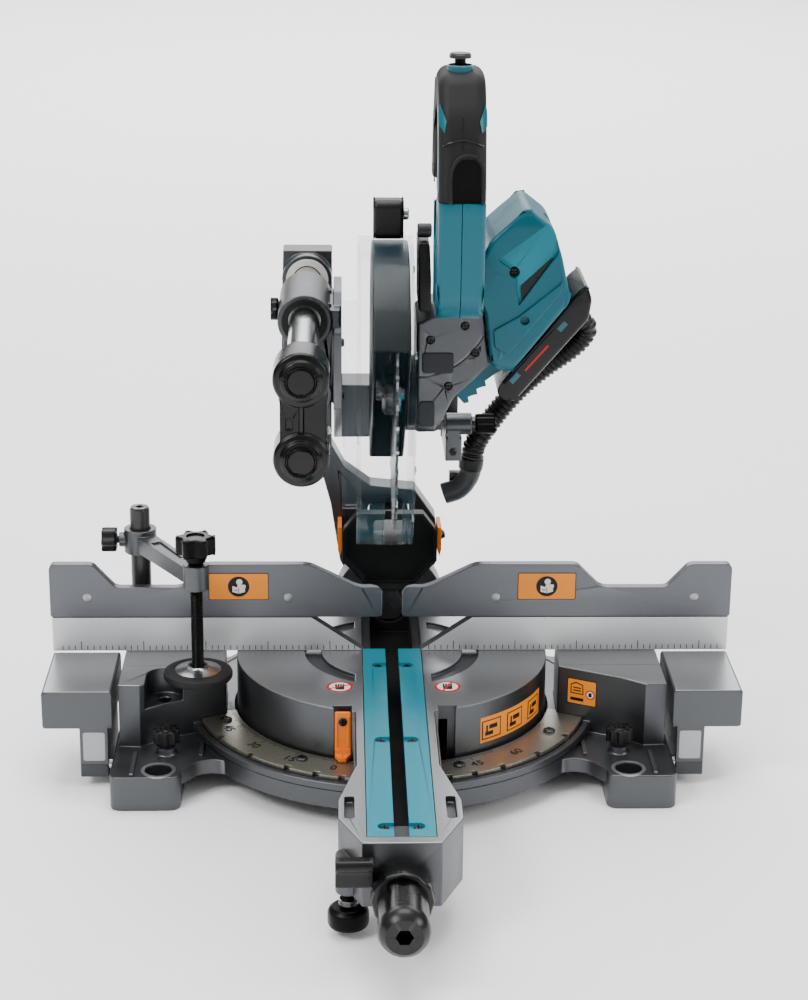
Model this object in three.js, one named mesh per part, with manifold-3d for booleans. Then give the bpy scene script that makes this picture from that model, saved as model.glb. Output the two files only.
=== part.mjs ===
// A sliding compound mitre saw for a 216 mm blade, as separate solids that bolt, turn and slide together.
// Inside the saw group the origin is the mitre axis in the table surface at the fence face: +X right,
// +Y back, +Z up. The saw group is then lifted so that the feet stand on Z = 0.
import * as THREE from "three";
import { mergeVertices } from "three/addons/utils/BufferGeometryUtils.js";
import Module from "manifold-3d";

const wasm = await Module();
wasm.setup();

// Driving dimensions, in millimetres.
const GAP = 0.3; // running clearance between neighbouring pieces
const FLOOR = -80; // underside of the feet, below the table surface
const SAW_SHIFT_Y = 108.5; // from the mitre axis to the middle of the whole length
const DRUM_R = 125; // turntable radius
const RING_R = 163; // outside of the base ring
const SCALE_Z = -40; // mitre scale surface
const BLOCK_IN = 134; // inner edge of the base's table blocks
const BLOCK_OUT = 214.5; // outer edge of the base's table blocks
const EXT_IN = 218.3; // extension tables, inner and outer edge
const EXT_OUT = 272.7;
const EXT_DEPTH = 83; // extension tables, front to fence
const FENCE_SPLIT = 28.85; // top of the lower fence
const FENCE_TOP = 74.3; // top of the sliding fence
const FENCE_T = 8; // sliding fence thickness
const BOARD_OUT = 23.4; // outer edge of a kerf board
const BOARD_IN = 5.2; // half the kerf slot
const ARM_FRONT = -337; // front face of the turntable arm
const ARM_THIN_Z = -29; // underside of the arm where it sweeps over the base
const RAIL_X = -69;
const RAIL_HIGH_Z = 278;
const RAIL_LOW_Z = 220;
const RAIL_R = 11.5;
const RAIL_FRONT = -178;
const RAIL_BACK = 158;
const HUB = [0, -14, 223]; // blade centre with the head raised
const BLADE_R = 108;
const GUARD_R = 119.5; // outside of the clear lower guard
const HEAD_PIVOT = [0, 158, 160]; // chop axis, along X
const BEVEL_BOSS_R = 36;
const ROUND = 16; // sides of a plain cylinder

// ---- shapes ----

// Turns a closed geometry into a solid for joining and cutting, faces outwards.
function solid(geometry) {
  const source = geometry.index ? geometry.toNonIndexed() : geometry;
  const bare = new THREE.BufferGeometry();
  bare.setAttribute("position", source.getAttribute("position"));
  const merged = mergeVertices(bare, 1e-4);
  const triVerts = new Uint32Array(merged.index.array);
  const vertProperties = new Float32Array(merged.attributes.position.array);
  const made = new wasm.Manifold(new wasm.Mesh({ numProp: 3, vertProperties, triVerts }));
  if (made.volume() > 0) return made;
  for (let i = 0; i < triVerts.length; i += 3) {
    [triVerts[i + 1], triVerts[i + 2]] = [triVerts[i + 2], triVerts[i + 1]];
  }
  return new wasm.Manifold(new wasm.Mesh({ numProp: 3, vertProperties, triVerts }));
}

function join(first, ...others) {
  return others.reduce((sum, other) => sum.add(other), first);
}

function cut(first, ...others) {
  return others.reduce((rest, other) => rest.subtract(other), first);
}

function box(x0, x1, y0, y1, z0, z1) {
  const geometry = new THREE.BoxGeometry(x1 - x0, y1 - y0, z1 - z0);
  geometry.translate((x0 + x1) / 2, (y0 + y1) / 2, (z0 + z1) / 2);
  return solid(geometry);
}

// Where a shape drawn in u, v and extruded along w lands: w is the named axis, and u, v are the
// other two in X, Y, Z order.
const AXIS_FRAMES = {
  x: new THREE.Matrix4().set(0, 0, 1, 0, 1, 0, 0, 0, 0, 1, 0, 0, 0, 0, 0, 1),
  y: new THREE.Matrix4().set(1, 0, 0, 0, 0, 0, 1, 0, 0, 1, 0, 0, 0, 0, 0, 1),
  z: new THREE.Matrix4(),
};

// A straight prism of an outline, from one place on the axis to another.
function prism(axis, outline, from, to, holes = []) {
  const shape = new THREE.Shape(outline.map(([u, v]) => new THREE.Vector2(u, v)));
  shape.holes = holes.map((hole) => new THREE.Path(hole.map(([u, v]) => new THREE.Vector2(u, v))));
  const geometry = new THREE.ExtrudeGeometry(shape, { depth: to - from, bevelEnabled: false });
  geometry.translate(0, 0, from);
  geometry.applyMatrix4(AXIS_FRAMES[axis]);
  return solid(geometry);
}

function circle(radius, [u, v] = [0, 0], sides = ROUND) {
  return Array.from({ length: sides }, (_, i) => {
    const a = (2 * Math.PI * i) / sides;
    return [u + radius * Math.cos(a), v + radius * Math.sin(a)];
  });
}

// Points along an arc, angles in degrees.
function arc(radius, from, to, steps, [u, v] = [0, 0]) {
  return Array.from({ length: steps + 1 }, (_, i) => {
    const a = THREE.MathUtils.degToRad(from + ((to - from) * i) / steps);
    return [u + radius * Math.cos(a), v + radius * Math.sin(a)];
  });
}

function rod(axis, radius, from, to, centre = [0, 0], sides = ROUND) {
  return prism(axis, circle(radius, centre, sides), from, to);
}

// An outline with every corner rounded to a radius, in a few short steps.
function rounded(points, radius, steps = 2) {
  const out = [];
  points.forEach(([u, v], i) => {
    const here = new THREE.Vector2(u, v);
    const before = new THREE.Vector2(...points[(i + points.length - 1) % points.length]);
    const after = new THREE.Vector2(...points[(i + 1) % points.length]);
    const reach = Math.min(radius, here.distanceTo(before) * 0.45, here.distanceTo(after) * 0.45);
    const start = here.clone().add(before.sub(here).setLength(reach));
    const end = here.clone().add(after.sub(here).setLength(reach));
    new THREE.QuadraticBezierCurve(start, here, end)
      .getPoints(steps)
      .forEach((p) => out.push([p.x, p.y]));
  });
  return out;
}

function rectangle(u0, u1, v0, v1) {
  return [
    [u0, v0],
    [u1, v0],
    [u1, v1],
    [u0, v1],
  ];
}

// A turned shape: profile points are [radius, height], starting and ending on the axis.
function turned(axis, profile, centre = [0, 0], sides = ROUND) {
  const points = profile.map(([r, h]) => new THREE.Vector2(r, h));
  const geometry = new THREE.LatheGeometry(points, sides);
  geometry.rotateX(Math.PI / 2); // the lathe's own axis is Y; this stands it up along Z
  geometry.applyMatrix4(AXIS_FRAMES[axis]);
  const [u, v] = centre;
  const move = { x: [0, u, v], y: [u, 0, v], z: [u, v, 0] }[axis];
  geometry.translate(...move);
  return solid(geometry);
}

// A solid turned about an axis through a point, in degrees.
function turn(made, axis, degrees, point = [0, 0, 0]) {
  const angles = { x: [degrees, 0, 0], y: [0, degrees, 0], z: [0, 0, degrees] }[axis];
  const back = point.map((c) => -c);
  return made.translate(back).rotate(angles).translate(point);
}

function mirrorX(outline) {
  return outline.map(([x, y]) => [-x, y]).reverse();
}

function piece(name, made, material) {
  const data = made.getMesh();
  const geometry = new THREE.BufferGeometry();
  geometry.setAttribute("position", new THREE.BufferAttribute(data.vertProperties, 3));
  geometry.setIndex(new THREE.BufferAttribute(data.triVerts, 1));
  geometry.computeVertexNormals();
  const mesh = new THREE.Mesh(geometry, material.clone());
  mesh.name = name;
  return mesh;
}

// ---- materials ----

const standard = (color, roughness, metalness) =>
  new THREE.MeshStandardMaterial({ color, roughness, metalness });
const CAST = standard(0x8d9094, 0.45, 0.9);
const DARK_CAST = standard(0x5d6064, 0.5, 0.9);
const STEEL = standard(0xc9cbce, 0.25, 1);
const BLACK_STEEL = standard(0x1d1e20, 0.45, 0.8);
const BLACK_PLASTIC = standard(0x17181a, 0.55, 0);
const RUBBER = standard(0x1c1c1d, 0.85, 0);
const TEAL = standard(0x16899b, 0.4, 0);
const ORANGE = standard(0xf28a1e, 0.4, 0);
const CLEAR = standard(0xbcdbe0, 0.1, 0);

// ---- base ----

// The sloped-front table block beside the turntable; side is -1 for left, 1 for right.
function blockOutline(side, grow = 0) {
  const right = [
    [BLOCK_IN - 1.5 - grow, -33 - grow],
    [180, -57 - grow],
    [198, -71 - grow],
    [BLOCK_OUT, -70],
    [BLOCK_OUT, 16],
    [BLOCK_IN - grow, 16],
  ];
  return side > 0 ? right : mirrorX(right);
}

// The low deck that carries a block and runs out to the feet.
function deckOutline(side) {
  const right = [
    [100, -125],
    [124, -100],
    [140, -94],
    [152, -98],
    [162, -112],
    [173, -127],
    [204, -127],
    [214, -123],
    [218, -112],
    [218, 92],
    [206, 130],
    [160, 130],
    [150, 110],
    [100, 125],
  ];
  return side > 0 ? right : mirrorX(right);
}

const FOOT_BOLT_X = 181;
const FOOT_BOLT_FRONT_Y = -114;
const FOOT_BOLT_BACK_Y = 112;
const DECK_TOP = -52;
const ROD_Y = -78;
const ROD_Z = -62;
const LOCK_X = 177;
const LOCK_Y = -82;
const SOCKET = [-180, -49];
const VISE = [-203, 30];

function footPad(side, front) {
  const near = front ? -127 : 78;
  const far = front ? -62 : 130;
  const x0 = 164;
  const outline = rounded(rectangle(side > 0 ? x0 : -218, side > 0 ? 218 : -x0, near, far), 10);
  return prism("z", outline, FLOOR, DECK_TOP);
}

function baseSide(side) {
  const deck = prism("z", deckOutline(side), -64, DECK_TOP);
  const block = prism("z", blockOutline(side), -64, 0);
  const collar = rod("z", 7, DECK_TOP - 2, -46, [side * LOCK_X, LOCK_Y]);
  let made = join(deck, block, collar, footPad(side, true), footPad(side, false));
  for (const y of [FOOT_BOLT_FRONT_Y, FOOT_BOLT_BACK_Y]) {
    const slot = rectangle(-6.5, 6.5, -4, 4).map(([u, v]) => [u + side * FOOT_BOLT_X, v + y]);
    made = cut(
      made,
      rod("z", 10.5, -66, DECK_TOP + 1, [side * FOOT_BOLT_X, y]),
      prism("z", rounded(slot, 3.9, 2), FLOOR - 1, -60),
    );
  }
  const inner = side > 0 ? [150, 219] : [-219, -150];
  return cut(
    made,
    rod("x", 4.9, ...inner, [ROD_Y, ROD_Z], 16),
    rod("z", 3.9, ROD_Z + 4, -45, [side * LOCK_X, LOCK_Y], 16),
  );
}

function baseCasting() {
  const floor = prism("z", circle(RING_R, [0, 0], 36), -64, -57, [circle(7, [0, 0], 16).reverse()]);
  const ring = prism("z", circle(RING_R, [0, 0], 36), -60, -43.6, [
    circle(DRUM_R + 2, [0, 0], 36).reverse(),
  ]);
  const ringTop = prism("z", circle(RING_R + 1, [0, 0], 36), -49, -43, [
    circle(158.5, [0, 0], 36).reverse(),
  ]);
  const viseBoss = join(
    rod("z", 14, -64, -1, VISE),
    prism("z", rectangle(VISE[0] - 11, VISE[0] + 14, 10, VISE[1]), -64, -1),
  );
  const socketCut = join(
    rod("z", 14, -21, 1, SOCKET),
    box(SOCKET[0] - 14, SOCKET[0] + 14, -100, SOCKET[1], -21, 1),
    rod("z", 5, -42, -20, SOCKET, 16),
  );
  const rearNotch = box(-60, 60, 100, 170, -50, -40);
  const hub = prism("z", circle(24), -64, -50.4, [circle(7, [0, 0], 16).reverse()]);
  const made = join(floor, ring, ringTop, baseSide(-1), baseSide(1), viseBoss, hub);
  const well = prism("z", circle(DRUM_R + 2, [0, 0], 36), -57, 1, [circle(24.5).reverse()]);
  return cut(made, well, socketCut, rearNotch, rod("z", 8.2, -40, 1, VISE, 20));
}

// ---- mitre scale ----

const STOP_ANGLES = [-60, -45, -31.6, -22.5, -15, 0, 15, 22.5, 31.6, 45, 60];

function scalePlate() {
  const inner = arc(DRUM_R + 3, -168, -12, 28);
  const outer = arc(157.5, -12, -168, 28);
  let made = prism("z", [...inner, ...outer], -43.3, SCALE_Z);
  for (const side of [-1, 1]) {
    made = cut(made, prism("z", blockOutline(side, 0.4), -50, 0));
  }
  for (const angle of STOP_ANGLES) {
    const notch = box(-2.5, 2.5, -159, -153.5, -44, -39);
    made = cut(made, turn(notch, "z", angle));
  }
  return made;
}

// ---- fences ----

function lowerFence(side) {
  const right = [
    [23.2, GAP],
    [EXT_OUT, GAP],
    [EXT_OUT, FENCE_SPLIT],
    [65, FENCE_SPLIT],
  ];
  const outline = side > 0 ? right : mirrorX(right);
  const wall = prism("y", outline, 0, 10);
  const flange = side > 0 ? box(134, 213, 9, 15.5, GAP, 9) : box(-213, -134, 9, 15.5, GAP, 9);
  const clampHole = rod("y", 3.4, -1, 11, [side * 154, 14], 16);
  return cut(join(wall, flange), clampHole);
}

function upperFence(side) {
  const right = [
    [8, FENCE_SPLIT + GAP],
    [274, FENCE_SPLIT + GAP],
    [274, 71],
    [271, FENCE_TOP],
    [242, FENCE_TOP],
    [238, 73],
    [222, 55.5],
    [218, 54.5],
    [172, 54.5],
    [167, 56],
    [150, 73],
    [146, FENCE_TOP],
    [70, FENCE_TOP],
    [64, 73],
    [30, 56],
    [25, 54.6],
    [11, 54.6],
    [8, 51.5],
  ];
  const outline = side > 0 ? right : mirrorX(right);
  const wall = prism("y", outline, 0, FENCE_T);
  const bevel = prism("z", [[side * 7, 2], [side * 7, 9], [side * 19, 9]], 20, 80);
  const guide = side > 0 ? box(70, 262, 10.3, 14, 25.5, 40) : box(-262, -70, 10.3, 14, 25.5, 40);
  const bridge = side > 0 ? box(70, 262, 7, 12, 29.2, 36) : box(-262, -70, 7, 12, 29.2, 36);
  return join(cut(wall, bevel), guide, bridge);
}

function starKnob(axis, radius, from, to, centre, lobes = 6) {
  const outline = Array.from({ length: lobes * 4 }, (_, i) => {
    const a = (2 * Math.PI * i) / (lobes * 4);
    const r = radius * (0.92 + 0.08 * Math.cos(lobes * a));
    return [centre[0] + r * Math.cos(a), centre[1] + r * Math.sin(a)];
  });
  return prism(axis, outline, from, to);
}

function fenceClampKnob(side) {
  const centre = [side * 154, 14];
  return join(rod("y", 3, 1, 17, centre, 16), starKnob("y", 9.5, 16, 28, centre));
}

// ---- extension tables ----

function extensionTable(side) {
  const top = rounded([[EXT_IN, -31], [EXT_OUT - 0.01, -31], [EXT_OUT, 0], [EXT_IN, 0]], 2, 2);
  const body = prism("y", side > 0 ? top : mirrorX(top), -EXT_DEPTH, -2);
  const legSpan = side > 0 ? [222, 244] : [-244, -222];
  const leg = box(...legSpan, -EXT_DEPTH, -4, -72, -20);
  const hollow = side > 0 ? box(247, 268, -78, -7, -40, -6) : box(-268, -247, -78, -7, -40, -6);
  const rear = side > 0 ? box(225.5, 245, -70, -22, -73, -6) : box(-245, -225.5, -70, -22, -73, -6);
  return cut(
    join(body, leg),
    hollow,
    rear,
    rod("x", 4.6 + GAP, ...(side > 0 ? [221, 230] : [-230, -221]), [ROD_Y, ROD_Z], 16),
  );
}

function extensionRod(side) {
  return rod("x", 4.6, ...(side > 0 ? [152, 229] : [-229, -152]), [ROD_Y, ROD_Z], 16);
}

function tableLockKnob(side) {
  const centre = [side * LOCK_X, LOCK_Y];
  return join(
    rod("z", 3.5, ROD_Z + 5, -44, centre, 16),
    rod("z", 6, -45.7, -42, centre),
    starKnob("z", 10.5, -43, -31.5, centre, 8),
  );
}

// ---- turntable and arm ----

const ARM_HALF = [
  [30, -110],
  [30, -215],
  [43, -272],
  [43, -300],
  [27, ARM_FRONT],
];
const LOCK_ROD_Z = -32;
const FOOT_SCREW = [-36, -314];

function armOutline() {
  return [...ARM_HALF, ...mirrorX(ARM_HALF)];
}

function turntable() {
  const drum = prism("z", circle(DRUM_R, [0, 0], 36), -50, 0);
  const drumHollow = cut(
    prism("z", circle(DRUM_R - 8, [0, 0], 36), -51, -12),
    box(-29, 29, -130, 130, -51, -11),
    rod("z", 24, -51, -11),
  );
  const arm = prism("z", armOutline(), ARM_THIN_Z, 0);
  const armDeep = prism("z", [...ARM_HALF.slice(2), ...mirrorX(ARM_HALF.slice(2))], -48, 0);
  const armFoot = rod("z", 9, -48, -20, FOOT_SCREW);
  const bracket = prism("y", [...arc(46, 0, 180, 20), [-40, -38], [40, -38]], 108, 134);
  const neck = box(-40, 40, 95, 134, -38, 0);
  const made = join(cut(drum, drumHollow), arm, armDeep, armFoot, bracket, neck);
  const grooveRing = prism("z", circle(70, [0, 0], 36), -3, 1, [circle(57, [0, 0], 36).reverse()]);
  const groove = cut(grooveRing, box(-30, 30, -80, 80, -4, 2));
  const boardSeat = box(-BOARD_OUT - GAP, BOARD_OUT + GAP, -328, 4.6, -6, 1);
  const channel = box(-17, 17, -300, 100, -24, 1);
  const rearSeat = box(-BOARD_OUT - GAP, BOARD_OUT + GAP, 4, 100, -2, 1);
  const pockets = [-1, 1].map((side) => {
    const span = side > 0 ? [33, 46.5] : [-46.5, -33];
    return box(...span, -126, -110, -51, 1);
  });
  const slots = [-1, 1].map((side) => {
    const rect = rectangle(side > 0 ? 32 : -38.5, side > 0 ? 38.5 : -32, -300, -266);
    return prism("z", rounded(rect, 3), -5, 1);
  });
  return cut(
    made,
    groove,
    boardSeat,
    channel,
    rearSeat,
    ...pockets,
    ...slots,
    rod("z", 6.3, -51, -30, [0, 0], 16),
    rod("y", 10.4, 100, 140, [0, 0], 20),
    rod("y", 15, 99, 108, [0, 0]),
    rod("y", 5.5, -340, -219, [0, LOCK_ROD_Z], 16),
    rod("z", 4.5, -49, -26, FOOT_SCREW, 16),
    box(-26, 26, -290, -225, -49, ARM_THIN_Z),
  );
}

function kerfBoard(side) {
  const x0 = side > 0 ? BOARD_IN : -BOARD_OUT;
  const x1 = side > 0 ? BOARD_OUT : -BOARD_IN;
  return box(x0, x1, -327.5, 4, -5.6, 0);
}

function mitrePointer() {
  const plate = box(-45.8, -33.7, -119, -116.5, -34, -2);
  const tip = prism("z", [[-45.8, -119.5], [-33.7, -119.5], [-37, -127.6], [-42.5, -127.6]], -39.4, -36);
  const bend = box(-45.8, -33.7, -120.5, -116.5, -39.4, -32);
  return join(plate, bend, tip);
}

function turntableBolt() {
  return join(rod("z", 5.9, -66, -33, [0, 0], 12), rod("z", 10, -70, -64.4, [0, 0], 6));
}

// ---- front controls ----

function lockGrip() {
  const body = starKnob("y", 21.5, -398, -352, [0, LOCK_ROD_Z], 12);
  const collar = rod("y", 17, -353, ARM_FRONT - 1.5, [0, LOCK_ROD_Z]);
  const nose = rod("y", 18, -407, -397, [0, LOCK_ROD_Z]);
  const bore = rod("y", 6, -408, -396, [0, LOCK_ROD_Z], 16);
  const lockRod = rod("y", 5, -353, -221, [0, LOCK_ROD_Z], 12);
  return join(cut(join(body, collar, nose), bore), lockRod);
}

function detentLever() {
  const side = [
    [-339, -30],
    [-339, -12],
    [-344, -6],
    [-356, -4],
    [-358, -10],
    [-349, -16],
    [-345, -30],
  ];
  return prism("x", side, -45, -19);
}

function footScrew() {
  return join(
    rod("z", 4, -68, -33, FOOT_SCREW, 12),
    starKnob("z", 14, -70, -59, FOOT_SCREW, 10),
    rod("z", 12, -74, -69, FOOT_SCREW),
  );
}

// ---- hold-down vise ----

const VISE_SCREW = [-153, -55];
const VISE_ARM_Z = 75;

function viseArm() {
  const dx = VISE_SCREW[0] - VISE[0];
  const dy = VISE_SCREW[1] - VISE[1];
  const long = Math.hypot(dx, dy);
  const across = [(-dy / long) * 7, (dx / long) * 7];
  const beam = [
    [VISE[0] + across[0], VISE[1] + across[1]],
    [VISE[0] - across[0], VISE[1] - across[1]],
    [VISE_SCREW[0] - across[0], VISE_SCREW[1] - across[1]],
    [VISE_SCREW[0] + across[0], VISE_SCREW[1] + across[1]],
  ];
  const made = join(
    prism("z", beam, VISE_ARM_Z + 4, VISE_ARM_Z + 15),
    rod("z", 13, VISE_ARM_Z, VISE_ARM_Z + 20, VISE),
    rod("z", 10, VISE_ARM_Z, VISE_ARM_Z + 20, VISE_SCREW),
    rod("x", 6, VISE[0] - 17, VISE[0], [VISE[1], VISE_ARM_Z + 10]),
  );
  return cut(
    made,
    rod("z", 8.3, VISE_ARM_Z - 1, VISE_ARM_Z + 21, VISE, 24),
    rod("z", 5.4, VISE_ARM_Z - 1, VISE_ARM_Z + 21, VISE_SCREW, 20),
    rod("x", 3.3, VISE[0] - 18, VISE[0], [VISE[1], VISE_ARM_Z + 10], 16),
  );
}

function viseRod() {
  return rod("z", 8, -38, 113, VISE, 20);
}

function viseArmKnob() {
  const centre = [VISE[1], VISE_ARM_Z + 10];
  return join(
    rod("x", 3, VISE[0] - 20, VISE[0] - 9, centre, 16),
    starKnob("x", 10, VISE[0] - 31, VISE[0] - 19, centre),
  );
}

function visePad() {
  const profile = [
    [0, 3],
    [5, 3],
    [6.5, 11],
    [8, 11],
    [19, 7],
    [27, 6.5],
    [27, 0.5],
    [0, 0.5],
  ];
  return turned("z", profile, VISE_SCREW, 24);
}

function viseScrew() {
  return join(
    rod("z", 4.9, 3.6, 104, VISE_SCREW, 16),
    starKnob("z", 15.5, 103, 118, VISE_SCREW),
  );
}

// ---- bevel arm, rails ----

function bevelArm() {
  const upright = [
    ...arc(BEVEL_BOSS_R, -200, 20, 18),
    [42, 28],
    [40, 66],
    [22, 92],
    [-16, 96],
    [-38, 112],
    [-49, 132],
    [-49, 205],
    [-48.6, 300],
    [-89, 300],
    [-91, 205],
    [-66, 140],
    [-50, 80],
    [-42, 28],
  ];
  const plate = prism("y", upright, 136, 160);
  const holders = [RAIL_LOW_Z, RAIL_HIGH_Z].map((z) => rod("y", 20.5, 124, 162, [RAIL_X, z]));
  const duct = rounded(rectangle(-18, 18, 50, 80), 5);
  return cut(
    join(plate, ...holders),
    prism("y", duct, 130, 170),
    ...[RAIL_LOW_Z, RAIL_HIGH_Z].map((z) => rod("y", RAIL_R + GAP, 120, 159, [RAIL_X, z], 24)),
    rod("y", 10.4, 130, 170, [0, 0], 24),
  );
}

function rail(z) {
  const made = rod("y", RAIL_R, RAIL_FRONT, RAIL_BACK, [RAIL_X, z], 24);
  return cut(made, rod("y", RAIL_R - 3, RAIL_FRONT - 1, RAIL_BACK + 1, [RAIL_X, z], 16));
}

function railCap() {
  const high = circle(20, [RAIL_X, RAIL_HIGH_Z], 24);
  const low = circle(20, [RAIL_X, RAIL_LOW_Z], 24);
  const web = rectangle(RAIL_X - 15, RAIL_X + 18, RAIL_LOW_Z, RAIL_HIGH_Z);
  const made = join(
    prism("y", high, -186, -152),
    prism("y", low, -186, -152),
    prism("y", web, -184, -156),
    rod("y", 15, -190, -184, [RAIL_X, RAIL_HIGH_Z]),
    rod("y", 15, -190, -184, [RAIL_X, RAIL_LOW_Z]),
  );
  return cut(
    made,
    rod("y", RAIL_R + GAP, RAIL_FRONT - 0.3, -150, [RAIL_X, RAIL_HIGH_Z], 24),
    rod("y", RAIL_R + GAP, RAIL_FRONT - 0.3, -150, [RAIL_X, RAIL_LOW_Z], 24),
  );
}

function bevelBolt() {
  return join(rod("y", 10, 104, 176, [0, 0], 24), rod("y", 14, 100.5, 107.5, [0, 0], 6));
}

function bevelLever() {
  const hub = rod("y", 14, 176.3, 190, [0, 0]);
  const handle = prism("y", rounded([[-5, 0], [5, 0], [7, 62], [-7, 62]], 3), 180, 188);
  return cut(join(hub, turn(handle, "y", 50)), rod("y", 6, 189, 191, [0, 0], 16));
}

function dustFunnel() {
  const outer = [
    [-22, 22],
    [22, 22],
    [40, 42],
    [40, 68],
    [28, 84],
    [-28, 84],
    [-40, 68],
    [-40, 42],
  ];
  const inner = outer.map(([x, z]) => [x * 0.93, 53 + (z - 53) * 0.92]);
  const hood = prism("y", outer, 96, 107.5);
  const mouth = join(prism("y", inner, 95, 103), box(-4, 4, 95, 104, 70, 90));
  const pipe = prism("y", rounded(rectangle(-16.5, 16.5, 51.5, 78.5), 5), 104, 182);
  const bore = prism("y", rounded(rectangle(-14, 14, 54, 76), 4), 100, 183);
  return cut(join(cut(hood, mouth), pipe), bore);
}

function bevelPointer(side) {
  const x = side * 42.1;
  const outline = [[x - 1.7, 70], [x + 1.7, 70], [x + 1.7, 50], [x, 44], [x - 1.7, 50]];
  return join(
    prism("y", outline, 101, 110),
    prism("y", rectangle(x - 1.7, x + 1.7, 56, 68), 105, 135.7),
  );
}

// ---- carriage ----

const CARRIAGE_FRONT = -18;
const CARRIAGE_BACK = 66;
const CROSS_Y = [140, 178];
const CROSS_Z = [138, 184];
const LUG_OUT = 58;
const STOP_AXIS = [80, 168]; // depth stop screw, along X

function carriage() {
  const bosses = [RAIL_LOW_Z, RAIL_HIGH_Z].map((z) =>
    rod("y", 20.8, CARRIAGE_FRONT, CARRIAGE_BACK, [RAIL_X, z], 24),
  );
  const web = box(RAIL_X - 14, RAIL_X + 14, CARRIAGE_FRONT + 6, CARRIAGE_BACK - 6, 225, 273);
  const sideProfile = [
    [CARRIAGE_FRONT + 2, 268],
    [CARRIAGE_FRONT + 2, 208],
    [40, 180],
    [CROSS_Y[0], CROSS_Z[0]],
    [CROSS_Y[1], CROSS_Z[0]],
    [CROSS_Y[1], CROSS_Z[1]],
    [120, 230],
    [60, 296],
    [10, 296],
  ];
  const sidePlate = prism("x", sideProfile, -47, -40.6);
  const link = box(-60, -42, CARRIAGE_FRONT + 6, CARRIAGE_BACK - 6, 212, 286);
  const cross = box(-47, LUG_OUT, CROSS_Y[0], CROSS_Y[1], CROSS_Z[0], CROSS_Z[1]);
  const lugGap = join(
    box(-12, 44, CROSS_Y[0] - 1, CROSS_Y[1] + 1, CROSS_Z[0] + 6, CROSS_Z[1] + 1),
    box(-12, 44, CROSS_Y[0] - 1, HEAD_PIVOT[1] + 2, CROSS_Z[0] - 1, CROSS_Z[1] + 1),
  );
  const stopBracket = join(
    box(44.5, LUG_OUT, STOP_AXIS[0] - 8, CROSS_Y[0] + 2, CROSS_Z[0], CROSS_Z[0] + 20),
    rod("x", 9, 44.5, 66, STOP_AXIS),
    box(46, 56, STOP_AXIS[0] - 8, STOP_AXIS[0] + 8, CROSS_Z[0], STOP_AXIS[1]),
  );
  const made = join(...bosses, web, sidePlate, link, cut(cross, lugGap), stopBracket);
  return cut(
    made,
    rod("y", 15.3, CARRIAGE_FRONT + 2, CARRIAGE_BACK - 2, [RAIL_X, RAIL_HIGH_Z], 24),
    rod("y", 12.6, CARRIAGE_FRONT - 1, CARRIAGE_BACK + 1, [RAIL_X, RAIL_HIGH_Z], 24),
    rod("y", 12.6, CARRIAGE_FRONT - 1, CARRIAGE_BACK + 1, [RAIL_X, RAIL_LOW_Z], 24),
    rod("x", 8.3, -48, LUG_OUT + 1, [HEAD_PIVOT[1], HEAD_PIVOT[2]], 24),
    rod("x", 3.4, RAIL_X - 30, RAIL_X - 12, [24, RAIL_HIGH_Z], 16),
    rod("x", 4.4, 44, 67, STOP_AXIS, 12),
    box(RAIL_X - 30, RAIL_X - 20.4, 12, 36, RAIL_HIGH_Z - 10, RAIL_HIGH_Z + 10),
  );
}

function linearBearing() {
  const hole = circle(RAIL_R + GAP, [RAIL_X, RAIL_HIGH_Z], 24).reverse();
  return prism("y", circle(15, [RAIL_X, RAIL_HIGH_Z], 24), -15.7, 63.7, [hole]);
}

function slideLockKnob() {
  const centre = [24, RAIL_HIGH_Z];
  return join(
    rod("x", 3.1, RAIL_X - 25, RAIL_X - 16, centre, 16),
    starKnob("x", 9, RAIL_X - 27, RAIL_X - 20.9, centre, 8),
  );
}

function headPivotShaft() {
  return rod("x", 8, -47.5, LUG_OUT - 0.3, [HEAD_PIVOT[1], HEAD_PIVOT[2]], 24);
}

function stopScrew() {
  return join(
    rod("x", 4, 48, 70, STOP_AXIS, 16),
    starKnob("x", 8.5, 69, 86, STOP_AXIS, 8),
  );
}

// A round tube along a smooth curve through points.
function tubeAlong(points, radius, sides, steps) {
  const curve = new THREE.CatmullRomCurve3(points.map((p) => new THREE.Vector3(...p)));
  const section = new THREE.Shape(circle(radius, [0, 0], sides).map(([u, v]) => new THREE.Vector2(u, v)));
  return solid(new THREE.ExtrudeGeometry(section, { steps, extrudePath: curve, bevelEnabled: false }));
}

function dustElbow() {
  const route = [
    [68, 105, 128.6],
    [66.4, 105, 116],
    [58, 105, 104],
    [45, 105, 99],
  ];
  const pipe = tubeAlong(route, 9, 12, 8);
  const clip = box(50, 60, 110, 117.6, 100, 116);
  return join(pipe, clip);
}

// ---- dust hose ----

const HOSE_R = 9.5;
const HOSE_ROUTE = [
  [60, 51, 268],
  [60, 64, 269],
  [65, 80, 268],
  [77, 93, 262],
  [95, 100, 251],
  [112, 100, 244],
  [127, 98, 243],
  [142, 98, 250],
  [153, 100, 251],
  [160, 102, 244],
  [156, 104, 234],
  [145, 105, 223],
  [126, 105, 209],
  [108, 105, 193],
  [93, 105, 176],
  [80, 105, 158],
  [71, 105, 143],
  [68.7, 105, 131.5],
];

function dustHose() {
  return tubeAlong(HOSE_ROUTE, HOSE_R, 8, 40);
}

// ---- head: gear case, motor, battery ----

const [, HUB_Y, HUB_Z] = HUB;
const MOTOR_DIR = [0.62, 0.785]; // motor axis in X, Z
const MOTOR_MID = [90, 316];
const BODY_Y = [-54, 30]; // motor and gear case, front and back

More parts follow.
